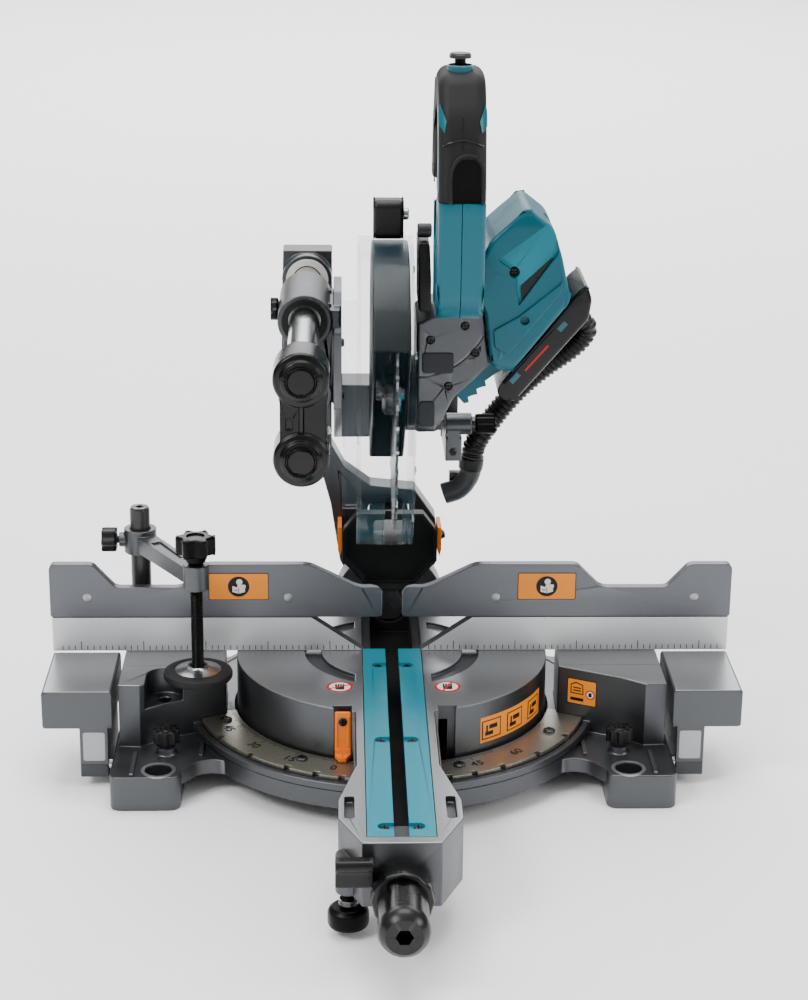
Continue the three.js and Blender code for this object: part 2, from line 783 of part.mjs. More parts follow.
function gearCase() {
  const outline = [
    [16, 198],
    [31, 198],
    [44, 226],
    [59.5, 240.5],
    [71.2, 252],
    [65.2, 297],
    [52, 296],
    [30, 291],
    [16, 284],
  ];
  const chamfered = rounded(rectangle(BODY_Y[0] + 6, BODY_Y[1] - 4, 196, 306), 14, 2);
  const body = prism("y", outline, BODY_Y[0], BODY_Y[1]).intersect(prism("x", chamfered, 10, 80));
  const armSide = [
    [10, 250],
    [0, 196],
    [60, 176],
    ...arc(15, -110, 70, 10, [HEAD_PIVOT[1], HEAD_PIVOT[2]]),
    [70, 222],
  ];
  const arm = prism("x", armSide, 18, 40);
  const barrel = rod("x", 15, 4, 43.4, [HEAD_PIVOT[1], HEAD_PIVOT[2]]);
  const nozzle = rod("y", 8, 20, 49.7, [60, 268], 24);
  const nozzleRoot = box(45, 63, 15, 28, 258, 280);
  return cut(
    join(body, arm, barrel, nozzle, nozzleRoot),
    rod("x", 8.3, 3, 50, [HEAD_PIVOT[1], HEAD_PIVOT[2]], 24),
    rod("x", 8.5, 10, 42, [HUB_Y, HUB_Z], 20),
    rod("x", 27, 20, 33, [HUB_Y, HUB_Z]),
    motorTube(9, -100, -20),
    rod("y", 6, 36, 51, [60, 268], 16),
  );
}

// A cylinder on the motor's slanted axis, between two distances from the motor's middle.
function motorTube(radius, from, to, sides = ROUND) {
  const tilt = THREE.MathUtils.radToDeg(Math.atan2(MOTOR_DIR[0], MOTOR_DIR[1]));
  return rod("z", radius, from, to, [0, 0], sides)
    .rotate([0, tilt, 0])
    .translate([MOTOR_MID[0], HUB_Y, MOTOR_MID[1]]);
}

function motorHousing() {
  const outline = [
    [66, 297],
    [72, 252],
    [86, 246],
    [131, 303],
    [124, 335],
    [117, 358],
    [97, 374],
    [70, 350],
    [61, 330],
    [58, 305.5],
  ];
  const chamfered = rounded(rectangle(BODY_Y[0], BODY_Y[1], 240, 380), 22, 2);
  const shell = prism("y", outline, BODY_Y[0], BODY_Y[1]).intersect(prism("x", chamfered, 40, 140));
  const teeth = [];
  for (let i = 0; i < 3; i += 1) {
    const x = 53 + i * 6.5;
    const z = 218 + i * 6.5;
    teeth.push([x, z], [x + 4, z + 1], [x + 3, z + 5]);
  }
  const fin = prism("y", [[84, 247], [72.4, 251.2], [60.4, 239.7], [46.5, 225.6], ...teeth], -34, 8);
  return cut(join(shell, fin), motorTube(30, -32, 26), motorTube(9.5, -70, -30), motorTube(12, 20, 60));
}

function motorStator() {
  return cut(motorTube(29.5, -30, 22), motorTube(20.5, -31, 23));
}

function motorRotor() {
  return join(
    motorTube(20, -26, 18),
    motorTube(4, -80, 24, 16),
    motorTube(7, -85, -74, 12),
  );
}

function battery() {
  const outline = [
    [81.9, 238.3],
    [77.5, 231],
    [80, 225],
    [91, 222],
    [146, 287],
    [148, 302],
    [144, 314],
    [136.2, 307.5],
  ];
  return prism("y", rounded(outline, 2, 2), -44, 24);
}

// ---- head: blade and guards ----

function sawBlade() {
  const teeth = 36;
  const outline = [];
  for (let i = 0; i < teeth; i += 1) {
    const at = (a, r) => [
      HUB_Y + r * Math.cos((2 * Math.PI * (i + a)) / teeth),
      HUB_Z + r * Math.sin((2 * Math.PI * (i + a)) / teeth),
    ];
    outline.push(at(0, BLADE_R), at(0.35, BLADE_R - 1.5), at(0.72, BLADE_R - 8), at(0.96, BLADE_R - 7));
  }
  return prism("x", outline, -1, 1, [circle(8.3, [HUB_Y, HUB_Z], 24).reverse()]);
}

// The spindle, with the inner blade flange turned on it.
function arborSpindle() {
  return cut(
    join(rod("x", 8, -5.5, 41, [HUB_Y, HUB_Z]), rod("x", 19, 1.3, 5, [HUB_Y, HUB_Z])),
    rod("x", 4, -7, 12, [HUB_Y, HUB_Z], 12),
  );
}

// The blade bolt, with the outer flange held on it.
function arborBolt() {
  return join(
    rod("x", 3.7, -8, 8, [HUB_Y, HUB_Z], 12),
    cut(rod("x", 19, -9.5, -1.3, [HUB_Y, HUB_Z]), rod("x", 9, -6.2, 0, [HUB_Y, HUB_Z])),
    rod("x", 8, -14, -9, [HUB_Y, HUB_Z], 6),
  );
}

function driveGear() {
  const teeth = 20;
  const outline = circle(24, [HUB_Y, HUB_Z], teeth * 2).map(([y, z], i) => {
    const r = i % 2 ? 0.92 : 1;
    return [HUB_Y + (y - HUB_Y) * r, HUB_Z + (z - HUB_Z) * r];
  });
  return prism("x", outline, 21, 30, [circle(8.3, [HUB_Y, HUB_Z], 24).reverse()]);
}

// A disc sector about the hub, angles in degrees from straight back, turning up and forward.
function sector(radius, from, to, steps) {
  return arc(radius, from, to, steps, [HUB_Y, HUB_Z]);
}

function ringSector(outer, inner, from, to, x0, x1) {
  const steps = Math.ceil((to - from) / 10);
  const outline = [...sector(outer, from, to, steps), ...sector(inner, to, from, steps)];
  return prism("x", outline, x0, x1);
}

const CASE_R = 115.5;

function bladeCase() {
  const outerEdge = sector(CASE_R, -44, 150, 20);
  const innerEdge = sector(CASE_R - 2.5, -46, 152, 20);
  const lowEdge = [
    [HUB_Y - 30, HUB_Z - 22],
    [HUB_Y + 12, HUB_Z - 30],
    [HUB_Y + 60, HUB_Z - 66],
  ];
  const lowOpen = [
    [HUB_Y - 32, HUB_Z - 26],
    [HUB_Y + 12, HUB_Z - 36],
    [HUB_Y + 60, HUB_Z - 76],
  ];
  const made = join(
    prism("x", [...outerEdge, ...lowEdge], -18, 10),
    rod("x", 27.5, 8, 15.7, [HUB_Y, HUB_Z]),
  );
  return cut(
    made,
    prism("x", [...innerEdge, ...lowOpen], -16, 8),
    rod("x", 20, -19, -15, [HUB_Y, HUB_Z]),
    rod("x", 12, 7, 16, [HUB_Y, HUB_Z], 24),
    rod("x", 21, 7, 8.5, [HUB_Y, HUB_Z]),
  );
}

const GUARD_FROM = 84;
const GUARD_TO = 292;
const GUARD_X = [-29, 13.4];

function lowerGuard() {
  const plates = join(
    ringSector(GUARD_R, 28.6, GUARD_FROM, GUARD_TO, GUARD_X[1] - 2, GUARD_X[1]),
    ringSector(GUARD_R, 42, GUARD_FROM, GUARD_TO, GUARD_X[0], GUARD_X[0] + 2),
    ringSector(GUARD_R, GUARD_R - 2.4, GUARD_FROM, GUARD_TO, ...GUARD_X),
    ringSector(34, 28.6, 0, 360, GUARD_X[1] - 2, GUARD_X[1]),
  );
  const flange = join(
    ringSector(92, 44, 118, 262, -39.8, -37.8),
    ringSector(92, 89.5, 118, 262, -39.8, GUARD_X[0] + 1),
  );
  const window = ringSector(GUARD_R + 2, GUARD_R - 6, 206, 246, -9, 4.5);
  const fork = ringSector(GUARD_R + 2, GUARD_R - 12, 254, GUARD_TO + 1, -6.5, 2.5);
  return cut(join(plates, flange), window, fork);
}

function guardLug() {
  const outline = [
    [HUB_Y - 8, HUB_Z + GUARD_R + 0.4],
    [HUB_Y + 10, HUB_Z + GUARD_R - 0.1],
    [HUB_Y + 12, HUB_Z + 146],
    [HUB_Y + 6, HUB_Z + 150],
    [HUB_Y - 7, HUB_Z + 150],
    [HUB_Y - 11, HUB_Z + 146],
  ];
  const block = prism("x", outline, -17, 6);
  const roller = rod("x", 4.5, 5, 10, [HUB_Y + 1, HUB_Z + 138], 16);
  return cut(join(block, roller), rod("x", GUARD_R + 0.3, -18, 7, [HUB_Y, HUB_Z], 48));
}

// ---- head: handle and switch ----

const HANDLE_X = [27, 61];
const HANDLE_MID = 44;
const GRIP_FROM_Z = 392;
const HANDLE_OUTER = [
  [-54.5, 304],
  [-116, 304],
  [-129, 318],
  [-134, 392],
  [-121, 452],
  [-104, 478],
  [-72, 482],
  [-34, 470],
  [-10, 440],
  [-2, 400],
  [-4, 382],
  [-54.5, 382],
];
const FINGER_HOLE = [
  [-96, 350],
  [-100, 398],
  [-92, 438],
  [-74, 447],
  [-46, 440],
  [-32, 412],
  [-30, 396],
  [-56, 384],
  [-60, 350],
];
const TRIGGER_Z = [396, 430];

function handleBody() {
  const hole = rounded(FINGER_HOLE, 8).reverse();
  return prism("x", rounded(HANDLE_OUTER, 9), ...HANDLE_X, [hole]);
}

function handleShell(side) {
  const half = side > 0 ? [HANDLE_MID + 0.15, 80] : [10, HANDLE_MID - 0.15];
  const keep = box(...half, -150, -54.4, 290, GRIP_FROM_Z - 0.15);
  return handleBody().intersect(keep);
}

function handleGrip() {
  const keep = box(10, 80, -150, 10, GRIP_FROM_Z + 0.15, 500);
  const foot = box(HANDLE_X[0] + 4, HANDLE_X[1] - 4, -40, -4, 372, 396);
  const pocket = box(HANDLE_MID - 7.3, HANDLE_MID + 7.3, -110, -88, TRIGGER_Z[0] - 1, TRIGGER_Z[1] + 1);
  const buttonBore = rod("z", 4.4, 462, 490, [43, -88], 16);
  return cut(handleBody().intersect(keep), pocket, buttonBore, box(20, 70, -57, -2, 370, 380)).add(
    foot.subtract(box(20, 70, -57, 2, 370, 378)),
  );
}

function trigger() {
  const outline = [
    [-103, TRIGGER_Z[0]],
    [-88, TRIGGER_Z[0] + 2],
    [-86, TRIGGER_Z[0] + 16],
    [-82, TRIGGER_Z[1] - 3],
    [-101, TRIGGER_Z[1]],
  ];
  return prism("x", outline, HANDLE_MID - 7, HANDLE_MID + 7);
}

function lockOffButton() {
  return join(rod("z", 4, 469, 490, [43, -88], 16), rod("z", 7.8, 488, 491.5, [43, -88], 24));
}

// ---- the whole saw ----

// Each group holds what moves together; a group inside another rides on it.
function group(parent, ...members) {
  const made = new THREE.Group();
  made.add(...members);
  parent.add(made);
  return made;
}

const mitreSaw = new THREE.Group();
const base = group(
  mitreSaw,
  piece("base_casting", baseCasting(), CAST),
  piece("mitre_scale_plate", scalePlate(), STEEL),
  piece("turntable_pivot_bolt", turntableBolt(), BLACK_STEEL),
);
base.position.set(0, SAW_SHIFT_Y, -FLOOR);

for (const [side, name] of [[-1, "left"], [1, "right"]]) {
  group(base, piece(`lower_fence_${name}`, lowerFence(side), CAST));
  group(base, piece(`upper_fence_${name}`, upperFence(side), CAST));
  group(base, piece(`fence_clamp_knob_${name}`, fenceClampKnob(side), BLACK_PLASTIC));
  group(
    base,
    piece(`extension_table_${name}`, extensionTable(side), CAST),
    piece(`extension_rod_${name}`, extensionRod(side), STEEL),
  );
  group(base, piece(`table_lock_knob_${name}`, tableLockKnob(side), BLACK_PLASTIC));
}

const viseSwivel = group(base, piece("vise_rod", viseRod(), BLACK_STEEL));
const viseLift = group(
  viseSwivel,
  piece("vise_arm", viseArm(), CAST),
  piece("vise_arm_knob", viseArmKnob(), BLACK_PLASTIC),
);
group(
  viseLift,
  piece("vise_pad", visePad(), RUBBER),
  piece("vise_screw", viseScrew(), BLACK_STEEL),
);

const table = group(
  base,
  piece("turntable", turntable(), CAST),
  piece("mitre_pointer", mitrePointer(), ORANGE),
  piece("kerf_board_left", kerfBoard(-1), TEAL),
  piece("kerf_board_right", kerfBoard(1), TEAL),
  piece("bevel_pivot_bolt", bevelBolt(), STEEL),
);
group(table, piece("mitre_lock_grip", lockGrip(), BLACK_PLASTIC));
group(table, piece("detent_lever", detentLever(), BLACK_PLASTIC));
group(table, piece("arm_foot_screw", footScrew(), BLACK_STEEL));
group(table, piece("bevel_lock_lever", bevelLever(), BLACK_PLASTIC));

const bevel = group(
  table,
  piece("bevel_arm", bevelArm(), CAST),
  piece("dust_funnel", dustFunnel(), RUBBER),
  piece("bevel_pointer_left", bevelPointer(-1), ORANGE),
  piece("bevel_pointer_right", bevelPointer(1), ORANGE),
  piece("rail_upper", rail(RAIL_HIGH_Z), STEEL),
  piece("rail_lower", rail(RAIL_LOW_Z), STEEL),
  piece("rail_front_cap", railCap(), BLACK_PLASTIC),
);

const slider = group(
  bevel,
  piece("carriage", carriage(), CAST),
  piece("linear_bearing", linearBearing(), STEEL),
  piece("head_pivot_shaft", headPivotShaft(), STEEL),
  piece("dust_elbow", dustElbow(), DARK_CAST),
);
group(slider, piece("slide_lock_knob", slideLockKnob(), BLACK_PLASTIC));
group(slider, piece("depth_stop_screw", stopScrew(), BLACK_STEEL));

const head = group(
  slider,
  piece("gear_case", gearCase(), CAST),
  piece("motor_housing", motorHousing(), TEAL),
  piece("motor_stator", motorStator(), BLACK_STEEL),
  piece("upper_blade_case", bladeCase(), BLACK_PLASTIC),
  piece("handle_shell_left", handleShell(-1), TEAL),
  piece("handle_shell_right", handleShell(1), TEAL),
  piece("handle_grip", handleGrip(), RUBBER),
  piece("dust_hose", dustHose(), RUBBER),
);
group(head, piece("battery", battery(), BLACK_PLASTIC));
group(head, piece("motor_rotor", motorRotor(), STEEL));
group(
  head,
  piece("saw_blade", sawBlade(), STEEL),
  piece("arbor_spindle", arborSpindle(), STEEL),
  piece("arbor_bolt", arborBolt(), BLACK_STEEL),
  piece("drive_gear", driveGear(), STEEL),
);
group(
  head,
  piece("lower_guard", lowerGuard(), CLEAR),
  piece("guard_lift_lug", guardLug(), BLACK_PLASTIC),
);
group(head, piece("trigger", trigger(), BLACK_PLASTIC));
group(head, piece("lock_off_button", lockOffButton(), BLACK_STEEL));

export default mitreSaw;
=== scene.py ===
"""Looks for the sliding mitre saw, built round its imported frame.

Shapes are drawn in millimetres from the mitre axis in the table surface at the fence face, with +X right,
+Y back and +Z up. place() turns a finished shape into metres in the row frame.
"""

import math

import bmesh
import bpy
from mathutils import Matrix, Vector
from mathutils.bvhtree import BVHTree


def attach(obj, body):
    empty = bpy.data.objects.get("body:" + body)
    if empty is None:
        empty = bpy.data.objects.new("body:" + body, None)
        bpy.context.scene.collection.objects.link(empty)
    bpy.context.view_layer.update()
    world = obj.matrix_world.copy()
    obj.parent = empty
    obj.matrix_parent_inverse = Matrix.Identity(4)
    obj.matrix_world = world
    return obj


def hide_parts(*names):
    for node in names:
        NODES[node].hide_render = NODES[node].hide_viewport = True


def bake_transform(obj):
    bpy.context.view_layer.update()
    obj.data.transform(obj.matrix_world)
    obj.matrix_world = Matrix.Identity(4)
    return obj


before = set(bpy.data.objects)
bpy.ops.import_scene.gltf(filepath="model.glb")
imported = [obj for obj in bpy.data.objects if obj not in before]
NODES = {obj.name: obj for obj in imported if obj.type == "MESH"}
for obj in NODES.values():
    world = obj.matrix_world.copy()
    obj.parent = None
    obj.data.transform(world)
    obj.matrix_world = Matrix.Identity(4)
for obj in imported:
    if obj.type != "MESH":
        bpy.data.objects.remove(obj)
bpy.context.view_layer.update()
LIFT = Vector((0.0, 0.1085, 0.08))
TO_ROW = Matrix.Translation(LIFT) @ Matrix.Scale(0.001, 4)


# ---- camera ----


def make_camera():
    pitch, yaw, roll = (math.radians(a) for a in (18.2305, 2.2585, 0.7311))
    forward = Vector((math.sin(yaw) * math.cos(pitch), math.cos(yaw) * math.cos(pitch), -math.sin(pitch)))
    level = Vector((math.cos(yaw), -math.sin(yaw), 0.0))
    above = level.cross(forward)
    right = level * math.cos(roll) + above * math.sin(roll)
    up = above * math.cos(roll) - level * math.sin(roll)
    data = bpy.data.cameras.new("camera")
    data.sensor_width = 36.0
    data.lens = 81.21
    data.shift_x = -0.0211
    data.shift_y = -0.0136
    data.clip_end = 20.0
    camera = bpy.data.objects.new("camera", data)
    bpy.context.scene.collection.objects.link(camera)
    turned_to = Matrix((right, up, -forward)).transposed().to_4x4()
    camera.matrix_world = Matrix.Translation((-0.04143, -1.58635, 0.77866)) @ turned_to
    bpy.context.scene.camera = camera


make_camera()

# ---- materials ----


def linear(code, gain=1.0):
    """A linear colour from a six-digit sRGB code."""
    parts = [int(code[i : i + 2], 16) / 255 for i in (0, 2, 4)]
    return (*[min(1.0, gain * (c / 12.92 if c <= 0.04045 else ((c + 0.055) / 1.055) ** 2.4)) for c in parts], 1.0)


def deep(code, gain=1.0):
    """A swatch colour set deeper in its middle tones, so that it holds under the bright studio."""
    red, green, blue, full = linear(code, gain)
    return (red ** 1.42, green ** 1.42, blue ** 1.42, full)


def surface(name, code, rough, metallic=0.0, grain=900, bump=0.12, vary=0.08, spread=0.08, streak=None, wear=0.0,
            coat=0.0, blotch=22):
    """A procedural finish: fine grain in the bump, slow drift in colour and roughness, brighter worn edges."""
    mat = bpy.data.materials.new(name)
    mat.use_nodes = True
    nodes, links = mat.node_tree.nodes, mat.node_tree.links
    shader = nodes["Principled BSDF"]
    shader.inputs["Metallic"].default_value = metallic
    shader.inputs["Coat Weight"].default_value = coat
    shader.inputs["Coat Roughness"].default_value = 0.12
    where = nodes.new("ShaderNodeTexCoord")
    stretch = nodes.new("ShaderNodeMapping")
    stretch.inputs["Scale"].default_value = streak or (1.0, 1.0, 1.0)
    links.new(where.outputs["Object"], stretch.inputs["Vector"])
    fine = nodes.new("ShaderNodeTexNoise")
    fine.inputs["Scale"].default_value = grain
    fine.inputs["Detail"].default_value = 3.0
    links.new(stretch.outputs["Vector"], fine.inputs["Vector"])
    slow = nodes.new("ShaderNodeTexNoise")
    slow.inputs["Scale"].default_value = blotch
    slow.inputs["Detail"].default_value = 5.0
    links.new(where.outputs["Object"], slow.inputs["Vector"])
    relief = nodes.new("ShaderNodeBump")
    relief.inputs["Strength"].default_value = bump
    relief.inputs["Distance"].default_value = 0.0004
    links.new(fine.outputs["Fac"], relief.inputs["Height"])
    links.new(relief.outputs["Normal"], shader.inputs["Normal"])
    tone = nodes.new("ShaderNodeMix")
    tone.data_type = "RGBA"
    tone.inputs["A"].default_value = deep(code, 1 - vary)
    tone.inputs["B"].default_value = deep(code, 1 + vary)
    shader.inputs["Specular IOR Level"].default_value = 0.34
    links.new(slow.outputs["Fac"], tone.inputs["Factor"])
    colour = tone.outputs["Result"]
    if wear:
        edge = nodes.new("ShaderNodeNewGeometry")
        ramp = nodes.new("ShaderNodeMapRange")
        ramp.inputs["From Min"].default_value = 0.54
        ramp.inputs["From Max"].default_value = 0.66
        ramp.inputs["To Max"].default_value = wear
        links.new(edge.outputs["Pointiness"], ramp.inputs["Value"])
        worn = nodes.new("ShaderNodeMix")
        worn.data_type = "RGBA"
        worn.inputs["B"].default_value = linear("d8d9da") if metallic > 0.5 else linear("8a8d90")
        links.new(ramp.outputs["Result"], worn.inputs["Factor"])
        links.new(colour, worn.inputs["A"])
        colour = worn.outputs["Result"]
    links.new(colour, shader.inputs["Base Color"])
    gloss = nodes.new("ShaderNodeMapRange")
    gloss.inputs["From Min"].default_value = 0.3
    gloss.inputs["From Max"].default_value = 0.7
    gloss.inputs["To Min"].default_value = max(0.02, rough - spread)
    gloss.inputs["To Max"].default_value = rough + spread
    links.new((fine if streak else slow).outputs["Fac"], gloss.inputs["Value"])
    links.new(gloss.outputs["Result"], shader.inputs["Roughness"])
    return mat


def clear_plastic(name, code, thin, thick):
    """Polycarbonate sheet: see-through face on, denser where it turns away."""
    mat = surface(name, code, 0.09, grain=60, bump=0.03, vary=0.02, spread=0.04)
    nodes, links = mat.node_tree.nodes, mat.node_tree.links
    shader = nodes["Principled BSDF"]
    facing = nodes.new("ShaderNodeLayerWeight")
    facing.inputs["Blend"].default_value = 0.35
    veil = nodes.new("ShaderNodeMapRange")
    veil.inputs["To Min"].default_value = thin
    veil.inputs["To Max"].default_value = thick
    links.new(facing.outputs["Facing"], veil.inputs["Value"])
    links.new(veil.outputs["Result"], shader.inputs["Alpha"])
    shader.inputs["IOR"].default_value = 1.58
    return mat


CAST = surface("cast_aluminium", "77797c", 0.36, 0.9, grain=900, bump=0.05, vary=0.05, spread=0.05, wear=0.35)
CAST_DARK = surface("shaded_casting", "55575a", 0.42, 0.9, grain=800, bump=0.1, wear=0.35)
MACHINED = surface("machined_aluminium", "b4b6b8", 0.33, 0.92, grain=300, bump=0.03, vary=0.04, spread=0.06,
                   streak=(1, 12, 1))
FENCE_METAL = surface("milled_fence", "84868a", 0.36, 0.92, grain=300, bump=0.02, vary=0.04, spread=0.05,
                      streak=(1, 1, 10), wear=0.3)
FENCE_BRIGHT = surface("bright_fence_face", "e2e3e4", 0.46, 0.75, grain=300, bump=0.02, vary=0.03, spread=0.04,
                       streak=(1, 1, 10))
SCALE_STEEL = surface("scale_steel", "a9a69c", 0.32, 0.85, grain=500, bump=0.06, streak=(8, 1, 1))
STEEL = surface("polished_steel", "cfd1d3", 0.13, 1.0, grain=300, bump=0.04, streak=(1, 12, 1), vary=0.03)
ZINC = surface("zinc_hardware", "b9bbbd", 0.24, 1.0, grain=700, bump=0.1, wear=0.3)
BLADE_STEEL = surface("blade_steel", "9fa1a3", 0.26, 1.0, grain=300, bump=0.06, streak=(1, 9, 9))
BLACK_STEEL = surface("black_oxide", "1d1e20", 0.34, 0.75, grain=800, bump=0.12, wear=0.25)
BLACK = surface("black_nylon", "141517", 0.42, 0.0, grain=1100, bump=0.28, wear=0.12)
BLACK_GLOSS = surface("black_moulding", "101113", 0.25, 0.0, grain=500, bump=0.06, wear=0.1)
RUBBER = surface("soft_grip_rubber", "1b1c1e", 0.62, 0.0, grain=1500, bump=0.5, wear=0.1)
HOSE = surface("hose_polymer", "131416", 0.36, 0.0, grain=900, bump=0.15, wear=0.15)
TEAL = surface("teal_plastic", "007a88", 0.34, 0.0, grain=1300, bump=0.22, vary=0.05, wear=0.08)
TEAL_FLAT = surface("teal_board", "1497a6", 0.36, 0.0, grain=900, bump=0.14, vary=0.05, wear=0.1)
TEAL_DEEP = surface("teal_recess", "2098a8", 0.36, 0.0, grain=1300, bump=0.25, vary=0.06)
ORANGE = surface("orange_plastic", "f79a33", 0.38, 0.0, grain=1000, bump=0.12, vary=0.05)
LABEL = surface("orange_label", "f9ab3a", 0.42, 0.0, grain=400, bump=0.04, vary=0.03)
INK = surface("printing_ink", "1a1a1b", 0.5, 0.0, grain=600, bump=0.03)
WHITE_INK = surface("white_ink", "eceae4", 0.45, 0.0, grain=600, bump=0.03, vary=0.02)
RED_INK = surface("red_ink", "c8202c", 0.42, 0.0, grain=600, bump=0.03, vary=0.04)
GREY_PLASTIC = surface("grey_plastic", "5b5e62", 0.4, 0.0, grain=1000, bump=0.2, wear=0.15)
RING_WHITE = surface("pale_bushing", "d9d7d0", 0.4, 0.0, grain=700, bump=0.08)
CLEAR = clear_plastic("clear_guard", "53727c", 0.03, 0.3)
VOID = surface("deep_shadow_paint", "08090a", 0.7, 0.0, grain=800, bump=0.2)

# ---- shapes ----


def from_bmesh(made):
    mesh = bpy.data.meshes.new("shape")
    bmesh.ops.recalc_face_normals(made, faces=made.faces)
    made.to_mesh(mesh)
    made.free()
    shape = bpy.data.objects.new("shape", mesh)
    bpy.context.scene.collection.objects.link(shape)
    return shape


def on_axis(axis, u, v, w):
    """A point drawn in u, v and raised along w, where w is the named axis."""
    return {"x": (w, u, v), "y": (u, w, v), "z": (u, v, w)}[axis]


def prism(axis, outline, start, end):
    made = bmesh.new()
    low = [made.verts.new(on_axis(axis, u, v, start)) for u, v in outline]
    high = [made.verts.new(on_axis(axis, u, v, end)) for u, v in outline]
    made.faces.new(low)
    made.faces.new(high)
    for i, corner in enumerate(low):
        after = (i + 1) % len(low)
        made.faces.new((corner, low[after], high[after], high[i]))
    return from_bmesh(made)


def arc(radius, start, end, steps, centre=(0, 0)):
    """Points along an arc, angles in degrees."""
    angles = [math.radians(start + (end - start) * i / steps) for i in range(steps + 1)]
    return [(centre[0] + radius * math.cos(a), centre[1] + radius * math.sin(a)) for a in angles]


def circle(radius, centre=(0, 0), sides=48):
    return arc(radius, 0, 360, sides, centre)[:-1]


def rod(axis, radius, start, end, centre=(0, 0), sides=48):
    return prism(axis, circle(radius, centre, sides), start, end)


def box(x0, x1, y0, y1, z0, z1):
    return prism("z", [(x0, y0), (x1, y0), (x1, y1), (x0, y1)], z0, z1)


def rectangle(u0, u1, v0, v1):
    return [(u0, v0), (u1, v0), (u1, v1), (u0, v1)]


def rounded(points, radius, steps=6):
    """An outline with every corner rounded to a radius."""
    out = []
    for i, corner in enumerate(points):
        here = Vector(corner)
        before, after = Vector(points[i - 1]) - here, Vector(points[(i + 1) % len(points)]) - here
        reach = min(radius, before.length * 0.45, after.length * 0.45)
        start, end = here + before.normalized() * reach, here + after.normalized() * reach
        for step in range(steps + 1):
            t = step / steps
            out.append(tuple(start * (1 - t) ** 2 + here * 2 * t * (1 - t) + end * t * t))
    return out


def mirrored(outline):
    return [(-x, y) for x, y in reversed(outline)]


def turned(axis, profile, centre=(0, 0), sides=48):
    """A turned shape: profile points are (radius, height), starting and ending on the axis."""
    made = bmesh.new()
    rings = []
    for radius, height in profile:
        if radius < 1e-6:
            rings.append([made.verts.new(on_axis(axis, centre[0], centre[1], height))])
        else:
            rings.append([made.verts.new(on_axis(axis, u, v, height)) for u, v in circle(radius, centre, sides)])
    for one, two in zip(rings, rings[1:]):
        for i in range(sides):
            after = (i + 1) % sides
            corners = [one[i % len(one)], one[after % len(one)], two[after % len(two)], two[i % len(two)]]
            unique = list(dict.fromkeys(corners))
            if len(unique) > 2:
                made.faces.new(unique)
    return from_bmesh(made)


def combine(operation, first, others):
    """Joins, cuts or intersects solids, and uses them up."""
    for other in others:
        step = first.modifiers.new("step", "BOOLEAN")
        step.operation = operation
        step.solver = "MANIFOLD"
        step.object = other
    graph = bpy.context.evaluated_depsgraph_get()
    mesh = bpy.data.meshes.new_from_object(first.evaluated_get(graph))
    first.modifiers.clear()
    first.data = mesh
    for other in others:
        bpy.data.objects.remove(other)
    return first


def join(first, *others):
    return combine("UNION", first, others)


def cut(first, *others):
    return combine("DIFFERENCE", first, others)


def meet(first, *others):
    return combine("INTERSECT", first, others)


def turn(shape, axis, degrees, point=(0, 0, 0)):
    about = Matrix.Translation(point) @ Matrix.Rotation(math.radians(degrees), 4, axis.upper())
    shape.data.transform(about @ Matrix.Translation(Vector(point) * -1))
    return shape


def tidied(shape):
    """Merges what a cut leaves in one plane and splits the faces into triangles, so that edges round cleanly."""
    made = bmesh.new()
    made.from_mesh(shape.data)
    bmesh.ops.remove_doubles(made, verts=made.verts, dist=0.002)
    bmesh.ops.dissolve_limit(made, angle_limit=math.radians(0.3), verts=made.verts, edges=made.edges)
    bmesh.ops.triangulate(made, faces=made.faces, quad_method="BEAUTY", ngon_method="BEAUTY")
    made.to_mesh(shape.data)
    made.free()
    return shape


def bevelled(shape, width, segments=3, angle=30):
    """Rounds a shape's sharp edges."""
    tidied(shape)
    for face in shape.data.polygons:
        face.use_smooth = True
    before = BVHTree.FromPolygons([v.co.copy() for v in shape.data.vertices],
                                  [tuple(face.vertices) for face in shape.data.polygons])
    edge = shape.modifiers.new("edge", "BEVEL")
    edge.width = width
    edge.segments = segments
    edge.limit_method = "ANGLE"
    edge.angle_limit = math.radians(angle)
    edge.use_clamp_overlap = False
    edge.harden_normals = False
    graph = bpy.context.evaluated_depsgraph_get()
    mesh = bpy.data.meshes.new_from_object(shape.evaluated_get(graph))
    shape.modifiers.clear()
    shape.data = mesh
    for corner in mesh.vertices:
        near, _, _, gap = before.find_nearest(corner.co)
        if gap > 0.6 * width:
            corner.co = near
    return shape


def even_flats(shape):
    """Lets the large flat faces set the shading, so that rounded edges don't dent them."""
    flats = shape.modifiers.new("flats", "WEIGHTED_NORMAL")
    flats.weight = 100
    flats.keep_sharp = True
    graph = bpy.context.evaluated_depsgraph_get()
    mesh = bpy.data.meshes.new_from_object(shape.evaluated_get(graph))
    shape.modifiers.clear()
    shape.data = mesh


def place(shape, name, body, finish, stands_for=(), soften=0.5, segments=2, painted=None):
    """Names a shape, gives it its finish and puts it on a body. painted is ((finish, test), ...), where test
    takes a face's middle and normal, in millimetres, and says whether that finish goes there."""
    if soften:
        bevelled(shape, soften, segments)
    mesh = shape.data
    mesh.materials.clear()
    mesh.materials.append(finish)
    for index, (coat, test) in enumerate(painted or (), start=1):
        mesh.materials.append(coat)
        for face in mesh.polygons:
            if test(face.center, face.normal):
                face.material_index = index
    mesh.transform(TO_ROW)
    for face in mesh.polygons:
        face.use_smooth = True
    mesh.set_sharp_from_angle(angle=math.radians(34))
    even_flats(shape)
    shape.name = name
    shape.data.name = name
    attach(shape, body)
    if stands_for:
        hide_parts(*stands_for)
    return shape


